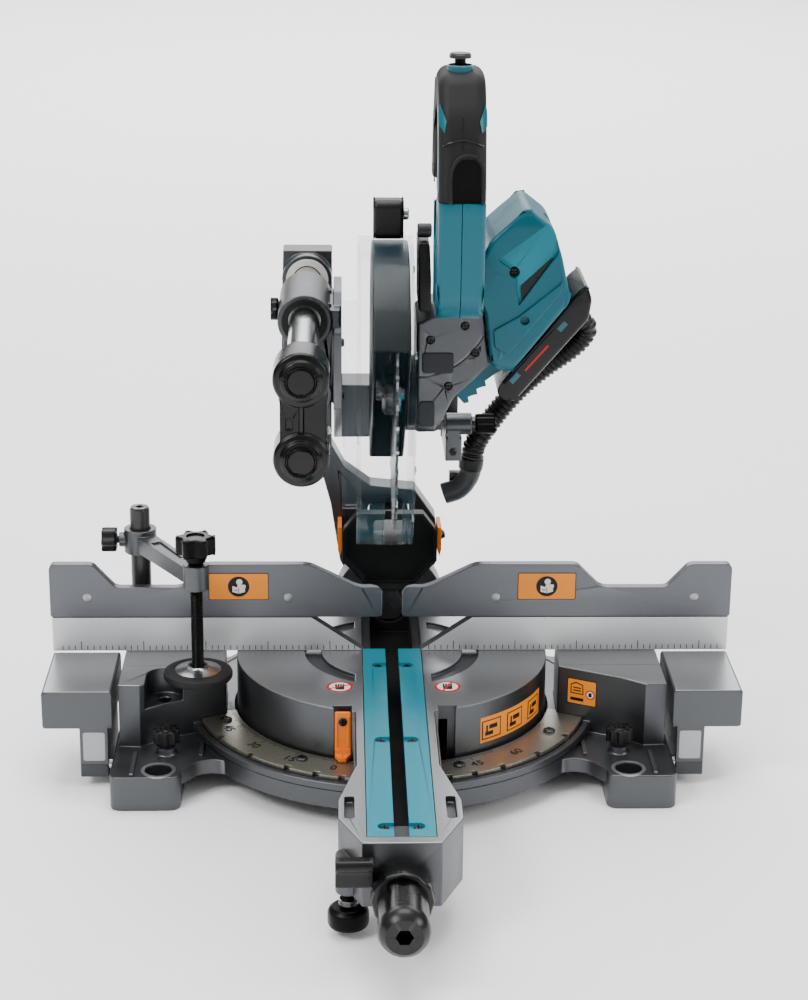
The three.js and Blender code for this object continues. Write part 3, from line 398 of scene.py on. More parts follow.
def star(radius, lobes, depth=0.08, centre=(0, 0), steps=12):
    """The outline of a lobed knob."""
    out = []
    for i in range(lobes * steps):
        a = 2 * math.pi * i / (lobes * steps)
        r = radius * (1 - depth + depth * math.cos(lobes * a))
        out.append((centre[0] + r * math.cos(a), centre[1] + r * math.sin(a)))
    return out


def cross_head(axis, radius, at, out, centre, height=1.6):
    """A screw head standing out from a face, with a cross recess; out is 1 or -1 along the axis."""
    top = at + out * height
    profile = [(0, at), (radius, at), (radius, at + out * height * 0.55), (radius * 0.72, top), (0, top)]
    head = turned(axis, profile, centre, 28)
    low, high = sorted((top - out * 0.9, top + out))
    arms = []
    for u, v in ((radius * 0.6, radius * 0.13), (radius * 0.13, radius * 0.6)):
        arms.append(prism(axis, rectangle(centre[0] - u, centre[0] + u, centre[1] - v, centre[1] + v), low, high))
    return cut(head, *arms)


def gathered(shapes):
    """Several loose shapes as one mesh, without joining their volumes."""
    whole = bmesh.new()
    for shape in shapes:
        whole.from_mesh(shape.data)
        bpy.data.objects.remove(shape)
    mesh = bpy.data.meshes.new("shape")
    whole.to_mesh(mesh)
    whole.free()
    made = bpy.data.objects.new("shape", mesh)
    bpy.context.scene.collection.objects.link(made)
    return made


def catmull(points, steps):
    """A smooth curve through points, as a dense list of points."""
    route = [Vector(p) for p in points]
    out = []
    for i in range(len(route) - 1):
        before = route[i - 1] if i else route[0] * 2 - route[1]
        after = route[i + 2] if i + 2 < len(route) else route[-1] * 2 - route[-2]
        for step in range(steps):
            t = step / steps
            out.append(
                0.5
                * (
                    2 * route[i]
                    + (route[i + 1] - before) * t
                    + (2 * before - 5 * route[i] + 4 * route[i + 1] - after) * t * t
                    + (3 * route[i] - before - 3 * route[i + 1] + after) * t**3
                )
            )
    out.append(route[-1])
    return out


def tube(points, radii, sides=28):
    """A closed tube along points, with a radius at each."""
    made = bmesh.new()
    rings = []
    side = Vector((0, 0, 1))
    for i, here in enumerate(points):
        along = (points[min(i + 1, len(points) - 1)] - points[max(i - 1, 0)]).normalized()
        side = (side - along * side.dot(along)).normalized()
        across = along.cross(side)
        ring = []
        for k in range(sides):
            a = 2 * math.pi * k / sides
            ring.append(made.verts.new(here + (side * math.cos(a) + across * math.sin(a)) * radii[i]))
        rings.append(ring)
    for one, two in zip(rings, rings[1:]):
        for k in range(sides):
            after = (k + 1) % sides
            made.faces.new((one[k], one[after], two[after], two[k]))
    made.faces.new(rings[0])
    made.faces.new(rings[-1])
    return from_bmesh(made)


# ---- dust hose ----

HOSE_ROUTE = [
    (60, 51, 268), (60, 64, 269), (65, 80, 268), (77, 93, 262), (95, 100, 251), (112, 100, 244), (127, 98, 243),
    (142, 98, 250), (153, 100, 251), (160, 102, 244), (156, 104, 234), (145, 105, 223), (126, 105, 209),
    (108, 105, 193), (93, 105, 176), (80, 105, 158), (71, 105, 143), (68.7, 105, 131.5),
]


def dust_hose():
    line = catmull(HOSE_ROUTE, 60)
    ribs, lengths, gone = [], [], 0.0
    for here, after in zip(line, line[1:]):
        lengths.append(gone)
        gone += (after - here).length
    lengths.append(gone)
    spaced, at = [], 0.0
    step = 0.55
    for i in range(int(gone / step) + 1):
        want = i * step
        while at < len(lengths) - 2 and lengths[int(at) + 1] < want:
            at += 1
        k = int(at)
        share = (want - lengths[k]) / max(1e-6, lengths[k + 1] - lengths[k])
        spaced.append(line[k].lerp(line[k + 1], share))
        phase = (want / 4.4) % 1.0
        ribs.append(9.5 if phase < 0.5 else 8.3 if 0.62 < phase < 0.88 else 8.9)
    shape = tube(spaced, ribs)
    shape.data.materials.append(HOSE)
    shape.data.transform(TO_ROW)
    for face in shape.data.polygons:
        face.use_smooth = True
    shape.data.set_sharp_from_angle(angle=math.radians(50))
    shape.name = "dust_hose_ribbed"
    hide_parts("dust_hose")
    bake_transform(shape)


dust_hose()

# ---- base ----

DECK_TOP = -52
SCREW_SPOTS = {"lock": (177, -82), "socket": (-180, -49), "vise": (-203, 30), "foot": (-36, -314)}
SIDES = ((-1, "left"), (1, "right"))


def sided(side, outline):
    return outline if side > 0 else mirrored(outline)


def span(side, near, far):
    """Two distances from the middle, in order, on one side."""
    return (near, far) if side > 0 else (-far, -near)


def block_outline(side, grow=0.0):
    right = [(132.5 - grow, -33 - grow), (180, -57 - grow), (198, -71 - grow), (214.5, -70), (214.5, 16),
             (134 - grow, 16)]
    return sided(side, right)


def base_side(side):
    deck = [(100, -125), (124, -100), (140, -94), (152, -98), (162, -112), (173, -127), (204, -127), (214, -123),
            (218, -112), (218, 92), (206, 130), (160, 130), (150, 110), (100, 125)]
    parts = [prism("z", sided(side, rounded(deck, 9)), -64, DECK_TOP)]
    parts.append(prism("z", block_outline(side), -64, 0))
    x, y = side * SCREW_SPOTS["lock"][0], SCREW_SPOTS["lock"][1]
    parts.append(turned("z", [(0, -54), (9.5, -54), (7.6, -50), (7, -46.4), (6.4, -46), (0, -46)], (x, y)))
    for near, far in ((-127, -62), (78, 130)):
        parts.append(prism("z", rounded(rectangle(*span(side, 164, 218), near, far), 10), -80, DECK_TOP))
    made = join(*parts)
    holes = []
    for y in (-114, 112):
        slot = [(u + side * 181, v + y) for u, v in rounded(rectangle(-6.5, 6.5, -4, 4), 3.9)]
        holes.append(rod("z", 10.5, -66, DECK_TOP + 1, (side * 181, y)))
        holes.append(prism("z", slot, -81, -60))
    holes.append(rod("x", 4.9, *span(side, 150, 219), (-78, -62)))
    holes.append(rod("z", 3.9, -58, -45, (side * 177, -82)))
    return cut(made, *holes)


def base_casting():
    socket, vise = SCREW_SPOTS["socket"], SCREW_SPOTS["vise"]
    parts = [
        rod("z", 163, -64, -57, sides=180),
        rod("z", 163, -60, -43.6, sides=180),
        cut(rod("z", 164, -49, -43, sides=180), rod("z", 158.5, -50, -42, sides=180)),
        base_side(-1),
        base_side(1),
        rod("z", 14, -64, -1, vise),
        box(vise[0] - 11, vise[0] + 14, 10, vise[1], -64, -1),
    ]
    made = join(*parts)
    made = cut(
        made,
        cut(rod("z", 127, -57, 1, sides=180), rod("z", 24, -58, -50.4)),
        rod("z", 7, -65, -40),
        box(-60, 60, 100, 170, -50, -40),
        join(
            rod("z", 14, -21, 1, socket),
            box(socket[0] - 14, socket[0] + 14, -100, socket[1], -21, 1),
        ),
        rod("z", 5, -42, -20, socket),
        rod("z", 8.2, -40, 1, vise),
    )
    machined = (lambda at, up: up[2] > 0.95 and at[2] > -0.3)
    place(made, "base_casting_body", "base", CAST, ["base_casting"], 1.0, 3,
          [(MACHINED, machined)])


def base_trim():
    """Cast ribs, bolts and seams on the base."""
    screws = []
    for x, y in ((-132, -47), (-71, -120), (49, -132), (123, -70)):
        screws.append(cross_head("z", 4.6, -40, 1, (x, y), 2.2))
    place(gathered(screws), "scale_screws", "base", BLACK_STEEL, soften=0)
    seams = []
    for side, _ in SIDES:
        for y in (-31, -2.4):
            seams.append(box(*span(side, 137, 212), y - 0.25, y + 0.25, -0.15, 0.12))
    place(gathered(seams), "table_seams", "base", CAST_DARK, soften=0)
    ribs = []
    for side, _ in SIDES:
        for x, y0, y1 in ((150, -90, -60), (201, -124, -84)):
            ribs.append(box(*span(side, x - 1.6, x + 1.6), y0, y1, -53, -49.6))
    place(gathered(ribs), "deck_ribs", "base", CAST, soften=0.5)
    pins = []
    for side, _ in SIDES:
        for y in (-114, 112):
            pins.append(cut(
                rod("z", 13.5, -52.6, -51.2, (side * 181, y)),
                rod("z", 10.5, -54, -50, (side * 181, y)),
            ))
    place(gathered(pins), "foot_washers", "base", MACHINED, soften=0.3)
    soles = []
    for side, _ in SIDES:
        for near, far in ((-122, -67), (83, 125)):
            soles.append(prism("z", rounded(rectangle(*span(side, 168, 214), near, far), 8), -79.95, -76))
    place(gathered(soles), "foot_soles", "base", RUBBER, soften=0)


base_casting()
base_trim()


SCALE_SHIFT = 19


def scale_plate():
    plate = prism("z", [*arc(128, -168, -12, 120), *arc(157.5, -12, -168, 120)], -43.3, -40)
    cuts = [prism("z", block_outline(side, 0.4), -50, 0) for side, _ in SIDES]
    for angle in (-60, -45, -31.6, -22.5, -15, 0, 15, 22.5, 31.6, 45, 60):
        cuts.append(turn(box(-2.5, 2.5, -159, -153.5, -44, -39), "z", angle))
    place(cut(plate, *cuts), "mitre_scale", "base", SCALE_STEEL, ["mitre_scale_plate"], 0.3, 2)
    marks = []
    for degree in range(-66, 55):
        inner = 136.5 if degree % 15 == 0 else 132.4 if degree % 5 else 134
        marks.append(turn(box(-0.3, 0.3, -inner, -128.8, -40.1, -39.9), "z", degree - SCALE_SHIFT))
    for degree in (-60, -45, -30, -15, 0, 15, 30, 45, 60):
        marks.append(figure(str(abs(degree)), 10.5, degree - SCALE_SHIFT))
    place(gathered(marks), "mitre_scale_marks", "base", INK, soften=0)


def figure(words, height, degree):
    """Figures printed on the scale, upright for a reader in front of the saw."""
    curve = bpy.data.curves.new("figure", "FONT")
    curve.body = words
    curve.size = height
    curve.align_x = "CENTER"
    curve.align_y = "CENTER"
    curve.extrude = 0.12
    curve.offset = 0.14
    shown = bpy.data.objects.new("figure", curve)
    bpy.context.scene.collection.objects.link(shown)
    graph = bpy.context.evaluated_depsgraph_get()
    mesh = bpy.data.meshes.new_from_object(shown.evaluated_get(graph))
    bpy.data.objects.remove(shown)
    made = bpy.data.objects.new("figure", mesh)
    bpy.context.scene.collection.objects.link(made)
    mesh.transform(Matrix.Translation((0, -143.6, -39.95)))
    return turn(made, "z", degree)


scale_plate()

# ---- fences ----


def fence_ticks(side):
    ticks = []
    for i in range(6, 54):
        x = side * i * 5
        tall = 7.2 if i % 10 == 0 else 3.6
        ticks.append(box(x - 0.3, x + 0.3, -0.12, 0.05, 1.2, 1.2 + tall))
    return ticks


def lower_fence(side, name):
    outline = sided(side, [(23.2, 0.3), (272.7, 0.3), (272.7, 28.85), (65, 28.85)])
    wall = join(prism("y", outline, 0, 10), box(*span(side, 134, 213), 9, 15.5, 0.3, 9))
    made = cut(wall, rod("y", 3.4, 1.6, 11, (side * 154, 14)))
    front = (lambda at, out: out[1] < -0.9)
    place(made, f"lower_fence_body_{name}", "base", CAST, [f"lower_fence_{name}"], 0.5, 2,
          [(FENCE_BRIGHT, front)])
    place(gathered(fence_ticks(side)), f"fence_ticks_{name}", "base", INK, soften=0)


def upper_fence(side, name):
    right = [(8, 29.15), (274, 29.15), (274, 71), (271, 74.3), (242, 74.3), (238, 73), (222, 55.5), (218, 54.5),
             (172, 54.5), (167, 56), (150, 73), (146, 74.3), (70, 74.3), (64, 73), (30, 56), (25, 54.6), (11, 54.6),
             (8, 51.5)]
    wall = prism("y", sided(side, rounded(right, 2.5, 3)), 0, 8)
    nose = prism("z", [(side * 7, 2), (side * 7, 9), (side * 19, 9)], 20, 80)
    guide = box(*span(side, 70, 262), 10.3, 14, 25.5, 40)
    bridge = box(*span(side, 70, 262), 7, 12, 29.2, 36)
    made = join(cut(wall, nose), guide, bridge)
    place(made, f"upper_fence_body_{name}", f"fence_{name}", FENCE_METAL, [f"upper_fence_{name}"], 0.7, 3)
    bolts = []
    for x in (83.5, 244):
        profile = [(0, 0.2), (3.4, 0.2), (3.4, -0.25), (2.9, -0.5), (0, -0.55)]
        bolts.append(turned("y", profile, (side * x, 46.5)))
    place(gathered(bolts), f"fence_bolt_ends_{name}", f"fence_{name}", MACHINED, soften=0)
    x0, x1 = (-147, -99) if side < 0 else (99, 147)
    label(x0 if side < 0 else 101, x1 if side < 0 else 148, 44, 67, name)


def label(x0, x1, z0, z1, name):
    """An orange sticker with a plain reader sign in a black disc."""
    body = f"fence_{name}"
    rim = prism("y", rounded(rectangle(x0, x1, z0, z1), 1.6), -0.18, 0.05)
    place(rim, f"fence_label_border_{name}", body, INK, soften=0)
    card = prism("y", rounded(rectangle(x0 + 0.6, x1 - 0.6, z0 + 0.6, z1 - 0.6), 1.3), -0.26, 0.0)
    place(card, f"fence_label_{name}", body, LABEL, soften=0)
    x, z = (x0 + x1) / 2, (z0 + z1) / 2
    place(rod("y", 8.6, -0.34, -0.2, (x, z)), f"fence_sign_disc_{name}", body, INK, soften=0)
    book = [(x - 5, z - 4.5), (x, z - 6), (x + 5, z - 4.5), (x + 5, z + 0.5), (x, z - 1), (x - 5, z + 0.5)]
    sign = [prism("y", book, -0.42, -0.3), rod("y", 2.5, -0.42, -0.3, (x + 0.6, z + 3.9)),
            prism("y", rounded(rectangle(x - 1, x + 5.6, z - 1.4, z + 1.6), 1.2), -0.41, -0.3)]
    place(gathered(sign), f"fence_sign_{name}", body, WHITE_INK, soften=0)
    page = [prism("y", rectangle(x - 0.25, x + 0.25, z - 5.9, z - 1), -0.46, -0.4),
            prism("y", rounded(rectangle(x - 3.8, x - 1, z - 3.4, z - 2.7), 0.2), -0.46, -0.4)]
    place(gathered(page), f"fence_sign_page_{name}", body, INK, soften=0)


def clamp_knob(side, name):
    centre = (side * 154, 14)
    knob = join(bevelled(prism("y", star(9.5, 6, 0.09, centre), 16, 28), 1.6, 4), rod("y", 3, 1, 17, centre))
    place(knob, f"fence_knob_body_{name}", f"fence_knob_{name}", BLACK, [f"fence_clamp_knob_{name}"], 0)


for side, name in SIDES:
    lower_fence(side, name)
    upper_fence(side, name)
    clamp_knob(side, name)

# ---- extension tables ----


def extension_table(side, name):
    top = rounded([(218.3, -31), (272.6, -31), (272.7, 0), (218.3, 0)], 3, 5)
    body = prism("y", sided(side, top), -83, -2)
    leg = box(*span(side, 222, 244), -83, -4, -72, -20)
    made = cut(
        join(body, leg),
        box(*span(side, 247, 268), -78, -7, -40, -6),
        box(*span(side, 225.5, 245), -70, -22, -73, -6),
        rod("x", 4.9, *span(side, 221, 230), (-78, -62)),
    )
    shine = (lambda at, out: out[2] > 0.95 and at[2] > -0.3)
    place(made, f"extension_body_{name}", f"extension_{name}", CAST, [f"extension_table_{name}"], 0.9, 3,
          [(MACHINED, shine)])
    face = prism("y", rounded(rectangle(*span(side, 224.5, 241.5), -58, -34), 2), -83.25, -82.6)
    foot = prism("y", rounded(rectangle(*span(side, 222.6, 243.4), -71.6, -61), 1.2), -83.5, -82)
    place(face, f"extension_leg_panel_{name}", f"extension_{name}", MACHINED, soften=0.2)
    place(foot, f"extension_leg_foot_{name}", f"extension_{name}", GREY_PLASTIC, soften=0.4)
    bar = bevelled(rod("x", 4.6, *span(side, 152, 229), (-78, -62)), 0.5)
    place(bar, f"extension_bar_{name}", f"extension_{name}", STEEL, [f"extension_rod_{name}"], 0)


def table_lock(side, name):
    centre = (side * 177, -82)
    knob = join(
        bevelled(prism("z", star(10.5, 8, 0.1, centre), -43, -31.5), 1.4, 4),
        rod("z", 6, -45.7, -42, centre),
        rod("z", 3.5, -57, -44, centre),
    )
    made = cut(knob, turned("z", [(0, -33.3), (4.2, -33.3), (5, -31), (0, -31)], centre))
    place(made, f"table_lock_body_{name}", f"table_knob_{name}", BLACK, [f"table_lock_knob_{name}"], 0)
    place(cross_head("z", 3.0, -33.4, 1, centre, 1.2), f"table_lock_screw_{name}", f"table_knob_{name}",
          BLACK_STEEL, soften=0)


for side, name in SIDES:
    extension_table(side, name)
    table_lock(side, name)

# ---- hold-down vise ----

VISE = SCREW_SPOTS["vise"]
VISE_SCREW = (-153, -55)


def thread(radius, start, end, pitch=1.75, axis="z", centre=(0, 0)):
    """A threaded length, as close V-shaped turns."""
    profile = [(0, start)]
    turns = int((end - start) / pitch)
    for i in range(turns):
        at = start + i * pitch
        profile += [(radius - 0.55, at), (radius, at + pitch / 2)]
    profile += [(radius - 0.55, end), (0, end)]
    return turned(axis, profile, centre, 28)


def star_top(axis, radius, start, end, centre, lobes, depth=0.1):
    """A moulded knob with a dished middle."""
    knob = bevelled(prism(axis, star(radius, lobes, depth, centre), start, end), 2.2, 4)
    dish = turned(axis, [(0, end - 1.4), (radius * 0.42, end - 1.4), (radius * 0.5, end + 1), (0, end + 1)], centre)
    return cut(knob, dish)


def vise():
    post = turned("z", [(0, -38), (8, -38), (8, 111), (7, 113), (0, 113)], VISE)
    post = cut(post, rod("z", 3.4, 110, 114, VISE, 6))
    place(post, "vise_post_rod", "vise_post", BLACK_STEEL, ["vise_rod"], 0)
    dx, dy = VISE_SCREW[0] - VISE[0], VISE_SCREW[1] - VISE[1]
    long = math.hypot(dx, dy)
    ax, ay = -dy / long, dx / long
    beam = [(VISE[0] + ax * 8, VISE[1] + ay * 8), (VISE[0] - ax * 8, VISE[1] - ay * 8),
            (VISE_SCREW[0] - ax * 6.5, VISE_SCREW[1] - ay * 6.5), (VISE_SCREW[0] + ax * 6.5, VISE_SCREW[1] + ay * 6.5)]
    arm = join(
        prism("z", beam, 78, 91),
        rod("z", 13, 75, 95, VISE),
        rod("z", 10, 75, 95, VISE_SCREW),
        rod("x", 6, VISE[0] - 17, VISE[0], (VISE[1], 85)),
    )
    groove = [(p * 0.72 + q * 0.28, r * 0.72 + s * 0.28) for (p, r), (q, s) in
              ((beam[0], beam[2]), (beam[1], beam[3]), (beam[2], beam[0]), (beam[3], beam[1]))]
    arm = cut(
        arm,
        prism("z", groove, 89.4, 92),
        rod("z", 8.3, 74, 96, VISE),
        rod("z", 5.4, 74, 96, VISE_SCREW),
        rod("x", 3.3, VISE[0] - 18, VISE[0], (VISE[1], 85)),
    )
    place(arm, "vise_arm_casting", "vise_clamp_arm", CAST, ["vise_arm"], 0.8, 3)
    side_knob = join(
        star_top("x", 10, VISE[0] - 31, VISE[0] - 19, (VISE[1], 85), 6),
        rod("x", 3, VISE[0] - 20, VISE[0] - 9, (VISE[1], 85)),
    )
    place(side_knob, "vise_side_knob_star", "vise_side_knob", BLACK, ["vise_arm_knob"], 0)
    pad = turned("z", [(0, 3), (5, 3), (6.5, 11), (8, 11), (10, 9.4), (18, 7.4), (20, 7.8), (24, 7.2), (26.4, 6),
                       (27, 4.6), (27, 2), (26, 0.5), (0, 0.5)], VISE_SCREW, 72)
    cone = (lambda at, out: math.hypot(at[0] - VISE_SCREW[0], at[1] - VISE_SCREW[1]) < 18.4 and at[2] > 2.9)
    place(pad, "vise_pad_disc", "vise_foot", RUBBER, ["vise_pad"], 0, painted=[(ZINC, cone)])
    screw = join(
        thread(4.9, 3.6, 104, centre=VISE_SCREW),
        star_top("z", 15.5, 103, 118, VISE_SCREW, 6, 0.12),
        turned("z", [(0, 97), (7, 97), (8.6, 100), (8.6, 104), (0, 104)], VISE_SCREW),
    )
    place(screw, "vise_spindle_screw", "vise_spindle", BLACK_STEEL, ["vise_screw"], 0)


vise()


def block_label():
    """A sticker on the right block: a saw outline beside a ring that says keep hands clear."""
    def on_block(shape):
        return turn(shape, "z", -26.8, (151, -42.35, 0))

    def flat(outline, near, far):
        return on_block(prism("y", outline, -42.35 - far, -42.35 - near))

    place(flat(rounded(rectangle(138.5, 163.5, -30, -8), 1.4), -0.1, 0.2), "block_label_border", "base", INK,
          soften=0)
    place(flat(rounded(rectangle(139.2, 162.8, -29.3, -8.7), 1.1), 0.1, 0.3), "block_label", "base", LABEL, soften=0)
    outline = [(141.5, -21), (141.5, -13), (146, -10.6), (152, -12.4), (152.6, -21)]
    inner = [(142.3, -20.2), (142.3, -13.6), (146.1, -11.6), (151.3, -13.2), (151.8, -20.2)]
    house = cut(flat(outline, 0.25, 0.4), flat(inner, 0.1, 0.6))
    bars = [flat(rectangle(143.6, 150.4, z, z + 1.0), 0.25, 0.4) for z in (-18.6, -16.2)]
    bars.append(flat(rectangle(141.5, 152.6, -26.8, -24.2), 0.25, 0.4))
    place(gathered([house, *bars]), "block_label_sign", "base", INK, soften=0)
    place(on_block(rod("y", 3.9, -42.75, -42.6, (158.2, -20))), "block_label_ring", "base", RED_INK, soften=0)
    place(on_block(rod("y", 2.9, -42.85, -42.7, (158.2, -20))), "block_label_field", "base", WHITE_INK, soften=0)
    place(flat(rounded(rectangle(156.8, 159.6, -21.8, -18.2), 0.6), 0.46, 0.58), "block_label_hand", "base", INK,
          soften=0)


block_label()

# ---- turntable and its arm ----

ARM_HALF = [(30, -110), (30, -215), (43, -272), (43, -300), (27, -337)]
LOCK_Z = -32
FOOT = SCREW_SPOTS["foot"]


def turntable():
    arm = [*ARM_HALF, *mirrored(ARM_HALF)]
    deep = [*ARM_HALF[2:], *mirrored(ARM_HALF[2:])]
    drum = cut(
        rod("z", 125, -50, 0, sides=180),
        cut(rod("z", 117, -51, -12, sides=120), box(-29, 29, -130, 130, -52, -11), rod("z", 24, -52, -11)),
    )
    bracket = prism("y", [*arc(46, 0, 180, 40), (-40, -38), (40, -38)], 108, 134)
    made = join(drum, prism("z", arm, -29, 0), prism("z", deep, -48, 0), rod("z", 9, -48, -20, FOOT), bracket,
                box(-40, 40, 95, 134, -38, 0))
    groove = cut(rod("z", 70, -3, 1, sides=120), rod("z", 57, -4, 2, sides=120), box(-30, 30, -80, 80, -4, 2))
    pockets = [box(*span(side, 33, 46.5), -126, -110, -51, 1) for side, _ in SIDES]
    slots = []
    for side, _ in SIDES:
        slots.append(prism("z", rounded(rectangle(*span(side, 32, 38.5), -300, -266), 3), -5, 1))
    made = cut(
        made, groove, box(-23.7, 23.7, -328, 4.6, -6, 1), box(-17, 17, -300, 100, -24, 1),
        box(-23.7, 23.7, 4, 100, -2, 1), *pockets, *slots, rod("z", 6.3, -51, -30), rod("y", 10.4, 100, 140),
        rod("y", 15, 99, 108), rod("y", 5.5, -340, -219, (0, LOCK_Z)), rod("z", 4.5, -49, -26, FOOT),
        box(-26, 26, -290, -225, -49, -29),
    )
    shine = (lambda at, up: up[2] > 0.95 and at[2] > -0.3)
    channel = (lambda at, up: abs(at[0]) < 17.2 and at[2] < -6.2 and -330 < at[1] < 100.5)
    place(made, "turntable_casting", "table", CAST, ["turntable"], 0.9, 3,
          [(MACHINED, shine), (VOID, channel)])


def table_trim():
    ticks = []
    for side, _ in SIDES:
        for i in range(6, 24):
            x = side * i * 5
            ticks.append(box(x - 0.25, x + 0.25, -8.4 if i % 2 == 0 else -6.4, -3.2, -0.05, 0.07))
    place(gathered(ticks), "table_ticks", "table", CAST_DARK, soften=0)
    arm_ribs = []
    for side, _ in SIDES:
        arm_ribs.append(prism("y", [(side * 30.6, -26), (side * 30.6, -3), (side * 31.6, -4), (side * 31.6, -25)],
                              -212, -132))
    place(gathered(arm_ribs), "arm_side_panels", "table", CAST_DARK, soften=0)
    for side, name in SIDES:
        disc(side * 42, -74, name)
    screws = []
    for side, _ in SIDES:
        for y in (-30, -172, -312):
            screws.append(cross_head("z", 3.4, -3.0, 1, (side * 11.5, y), 2.2))
    place(gathered(screws), "kerf_screws", "table", BLACK_STEEL, soften=0)
    place(cross_head("y", 3.4, -119, -1, (-39.7, -9.5), 1.4), "pointer_screw", "table", BLACK_STEEL, soften=0)
    drum_label()


def disc(x, y, name):
    """A hand-clear sign: white hand shape on a red ring."""
    turn_by = -20 if x < 0 else 20
    place(rod("z", 10.4, -0.05, 0.07, (x, y)), f"hand_sign_ring_{name}", "table", RED_INK, soften=0)
    place(rod("z", 8.2, 0.0, 0.1, (x, y)), f"hand_sign_field_{name}", "table", WHITE_INK, soften=0)
    palm = [prism("z", rounded(rectangle(x - 3.6, x + 3.6, y - 5.6, y + 0.8), 1.4), 0.07, 0.14)]
    for i in range(4):
        palm.append(prism("z", rounded(rectangle(x - 3.7 + i * 1.95, x - 2.2 + i * 1.95, y - 0.2, y + 5.4), 0.6),
                          0.07, 0.14))
    bar = turn(prism("z", rectangle(x - 8.2, x + 8.2, y - 0.8, y + 0.8), 0.07, 0.18), "z", 45 + turn_by, (x, y, 0))
    place(gathered(palm), f"hand_sign_palm_{name}", "table", INK, soften=0)
    place(bar, f"hand_sign_bar_{name}", "table", RED_INK, soften=0)


def drum_band(r0, r1, start, end, z0, z1):
    """A thin patch wrapped on the drum wall, angles in degrees."""
    return prism("z", [*arc(r1, start, end, 24), *arc(r0, end, start, 24)], z0, z1)


def drum_label():
    place(drum_band(124.6, 125.25, -58, -22, -34, -13), "drum_label", "table", LABEL, soften=0)
    signs = []
    for middle in (-53, -41, -28):
        signs.append(drum_band(125, 125.36, middle - 4.4, middle + 4.4, -31.5, -16))
    place(gathered(signs), "drum_label_frames", "table", INK, soften=0)
    fields = []
    for middle in (-53, -41, -28):
        fields.append(drum_band(125.2, 125.44, middle - 3.9, middle + 3.9, -30.6, -16.9))
    place(gathered(fields), "drum_label_fields", "table", LABEL, soften=0)
    shapes = []
    for middle in (-53, -41, -28):
        shapes.append(drum_band(125.3, 125.52, middle - 3, middle + 0.6, -28.6, -25.4))
        shapes.append(drum_band(125.3, 125.52, middle - 1.2, middle + 2.6, -23.6, -20))
        shapes.append(drum_band(125.3, 125.52, middle - 2.6, middle - 1.8, -25.4, -20))
    place(gathered(shapes), "drum_label_shapes", "table", INK, soften=0)


def kerf_board(side, name):
    board = box(*span(side, 5.2, 23.4), -327.5, 4, -5.6, 0)
    pockets = []
    for y in (-30, -172, -312):
        pockets.append(rod("z", 4.7, -3.0, 1, (side * 11.5, y)))
        pockets.append(box(*span(side, 4, 11.5), y - 4.7, y + 4.7, -3.0, 1))
    made = cut(board, *pockets)
    place(made, f"kerf_board_body_{name}", "table", TEAL_FLAT, [f"kerf_board_{name}"], 0.35, 2)


def pointer():
    plate = prism("y", rounded(rectangle(-45.8, -33.7, -36, -2), 1.6), -119, -116.5)
    tip = prism("z", [(-45.8, -119.5), (-33.7, -119.5), (-37, -127.6), (-42.5, -127.6)], -39.4, -36)
    bend = box(-45.8, -33.7, -120.5, -116.5, -39.4, -32)
    ribs = [box(-44.6, -43.4, -119.5, -118, -30, -5), box(-36.1, -34.9, -119.5, -118, -30, -5)]
    place(join(plate, tip, bend, *ribs), "mitre_pointer_plate", "table", ORANGE, ["mitre_pointer"], 0.35, 2)
    line = box(-39.85, -39.55, -127.2, -121, -36.1, -35.8)
    place(line, "mitre_pointer_line", "table", INK, soften=0)


turntable()
for side, name in SIDES:
    kerf_board(side, name)
pointer()
table_trim()

# ---- front controls ----


def lock_grip():
    """The lock grip has a wide twelve-sided collar, a slimmer ribbed barrel and a domed nose with a hex bore."""
    collar = bevelled(rod("y", 21.4, -361, -343, (0, LOCK_Z), 12), 2.4, 4)
    barrel = bevelled(prism("y", star(17.2, 6, 0.03, (0, LOCK_Z)), -397, -352), 1.6, 4)
    waist = turned("y", [(0, -350), (17.4, -350), (18.6, -348), (18.6, -342), (16.4, -339.4), (15.4, -338.5),
                         (0, -338.5)], (0, LOCK_Z), 72)
    nose = turned("y", [(0, -394), (16.8, -394), (17.6, -396), (17.6, -400), (16, -404), (12.6, -407), (0, -407)],
                  (0, LOCK_Z), 72)
    made = join(collar, barrel, waist, nose, rod("y", 5, -353, -221, (0, LOCK_Z)))
    cuts = [rod("y", 6, -408, -396, (0, LOCK_Z), 6)]
    for i in range(6):
        a = math.radians(60 * i + 30)
        at = (18.2 * math.cos(a), LOCK_Z + 18.2 * math.sin(a))
        cuts.append(rod("y", 1.5, -394, -363, at, 16))
    place(cut(made, *cuts), "mitre_lock_grip_moulding", "mitre_grip", BLACK_GLOSS, ["mitre_lock_grip"], 0)


def detent_lever():
    side_view = [(-339, -30), (-339, -12), (-344, -6), (-356, -4), (-358, -10), (-349, -16), (-345, -30)]
    lever = bevelled(prism("x", rounded(side_view, 3), -45, -19), 1.2, 3, 50)
    grooves = []
    for i in range(4):
        y = -346 - i * 2.6
        grooves.append(box(-42, -22, y - 0.5, y + 0.5, -6.6, -2))
    place(cut(lever, *grooves), "detent_lever_moulding", "detent", BLACK, ["detent_lever"], 0)


def foot_screw():
    made = join(
        thread(4, -68, -33, 1.5, centre=FOOT),
        turned("z", [(0, -74), (12, -74), (13.6, -73), (14.4, -71), (14.4, -63.6), (13.4, -61.2), (11, -59.4),
                     (0, -59)], FOOT, 72),
    )
    place(made, "arm_foot_screw_body", "arm_foot", BLACK_STEEL, ["arm_foot_screw"], 0)
    coil = []
    for i in range(241):
        a = 2 * math.pi * i / 30
        coil.append(Vector((FOOT[0] + 6 * math.cos(a), FOOT[1] + 6 * math.sin(a), -57.4 + 3.4 * i / 240)))
    place(tube(coil, [0.7] * len(coil), 8), "arm_foot_spring", "arm_foot", ZINC, soften=0)


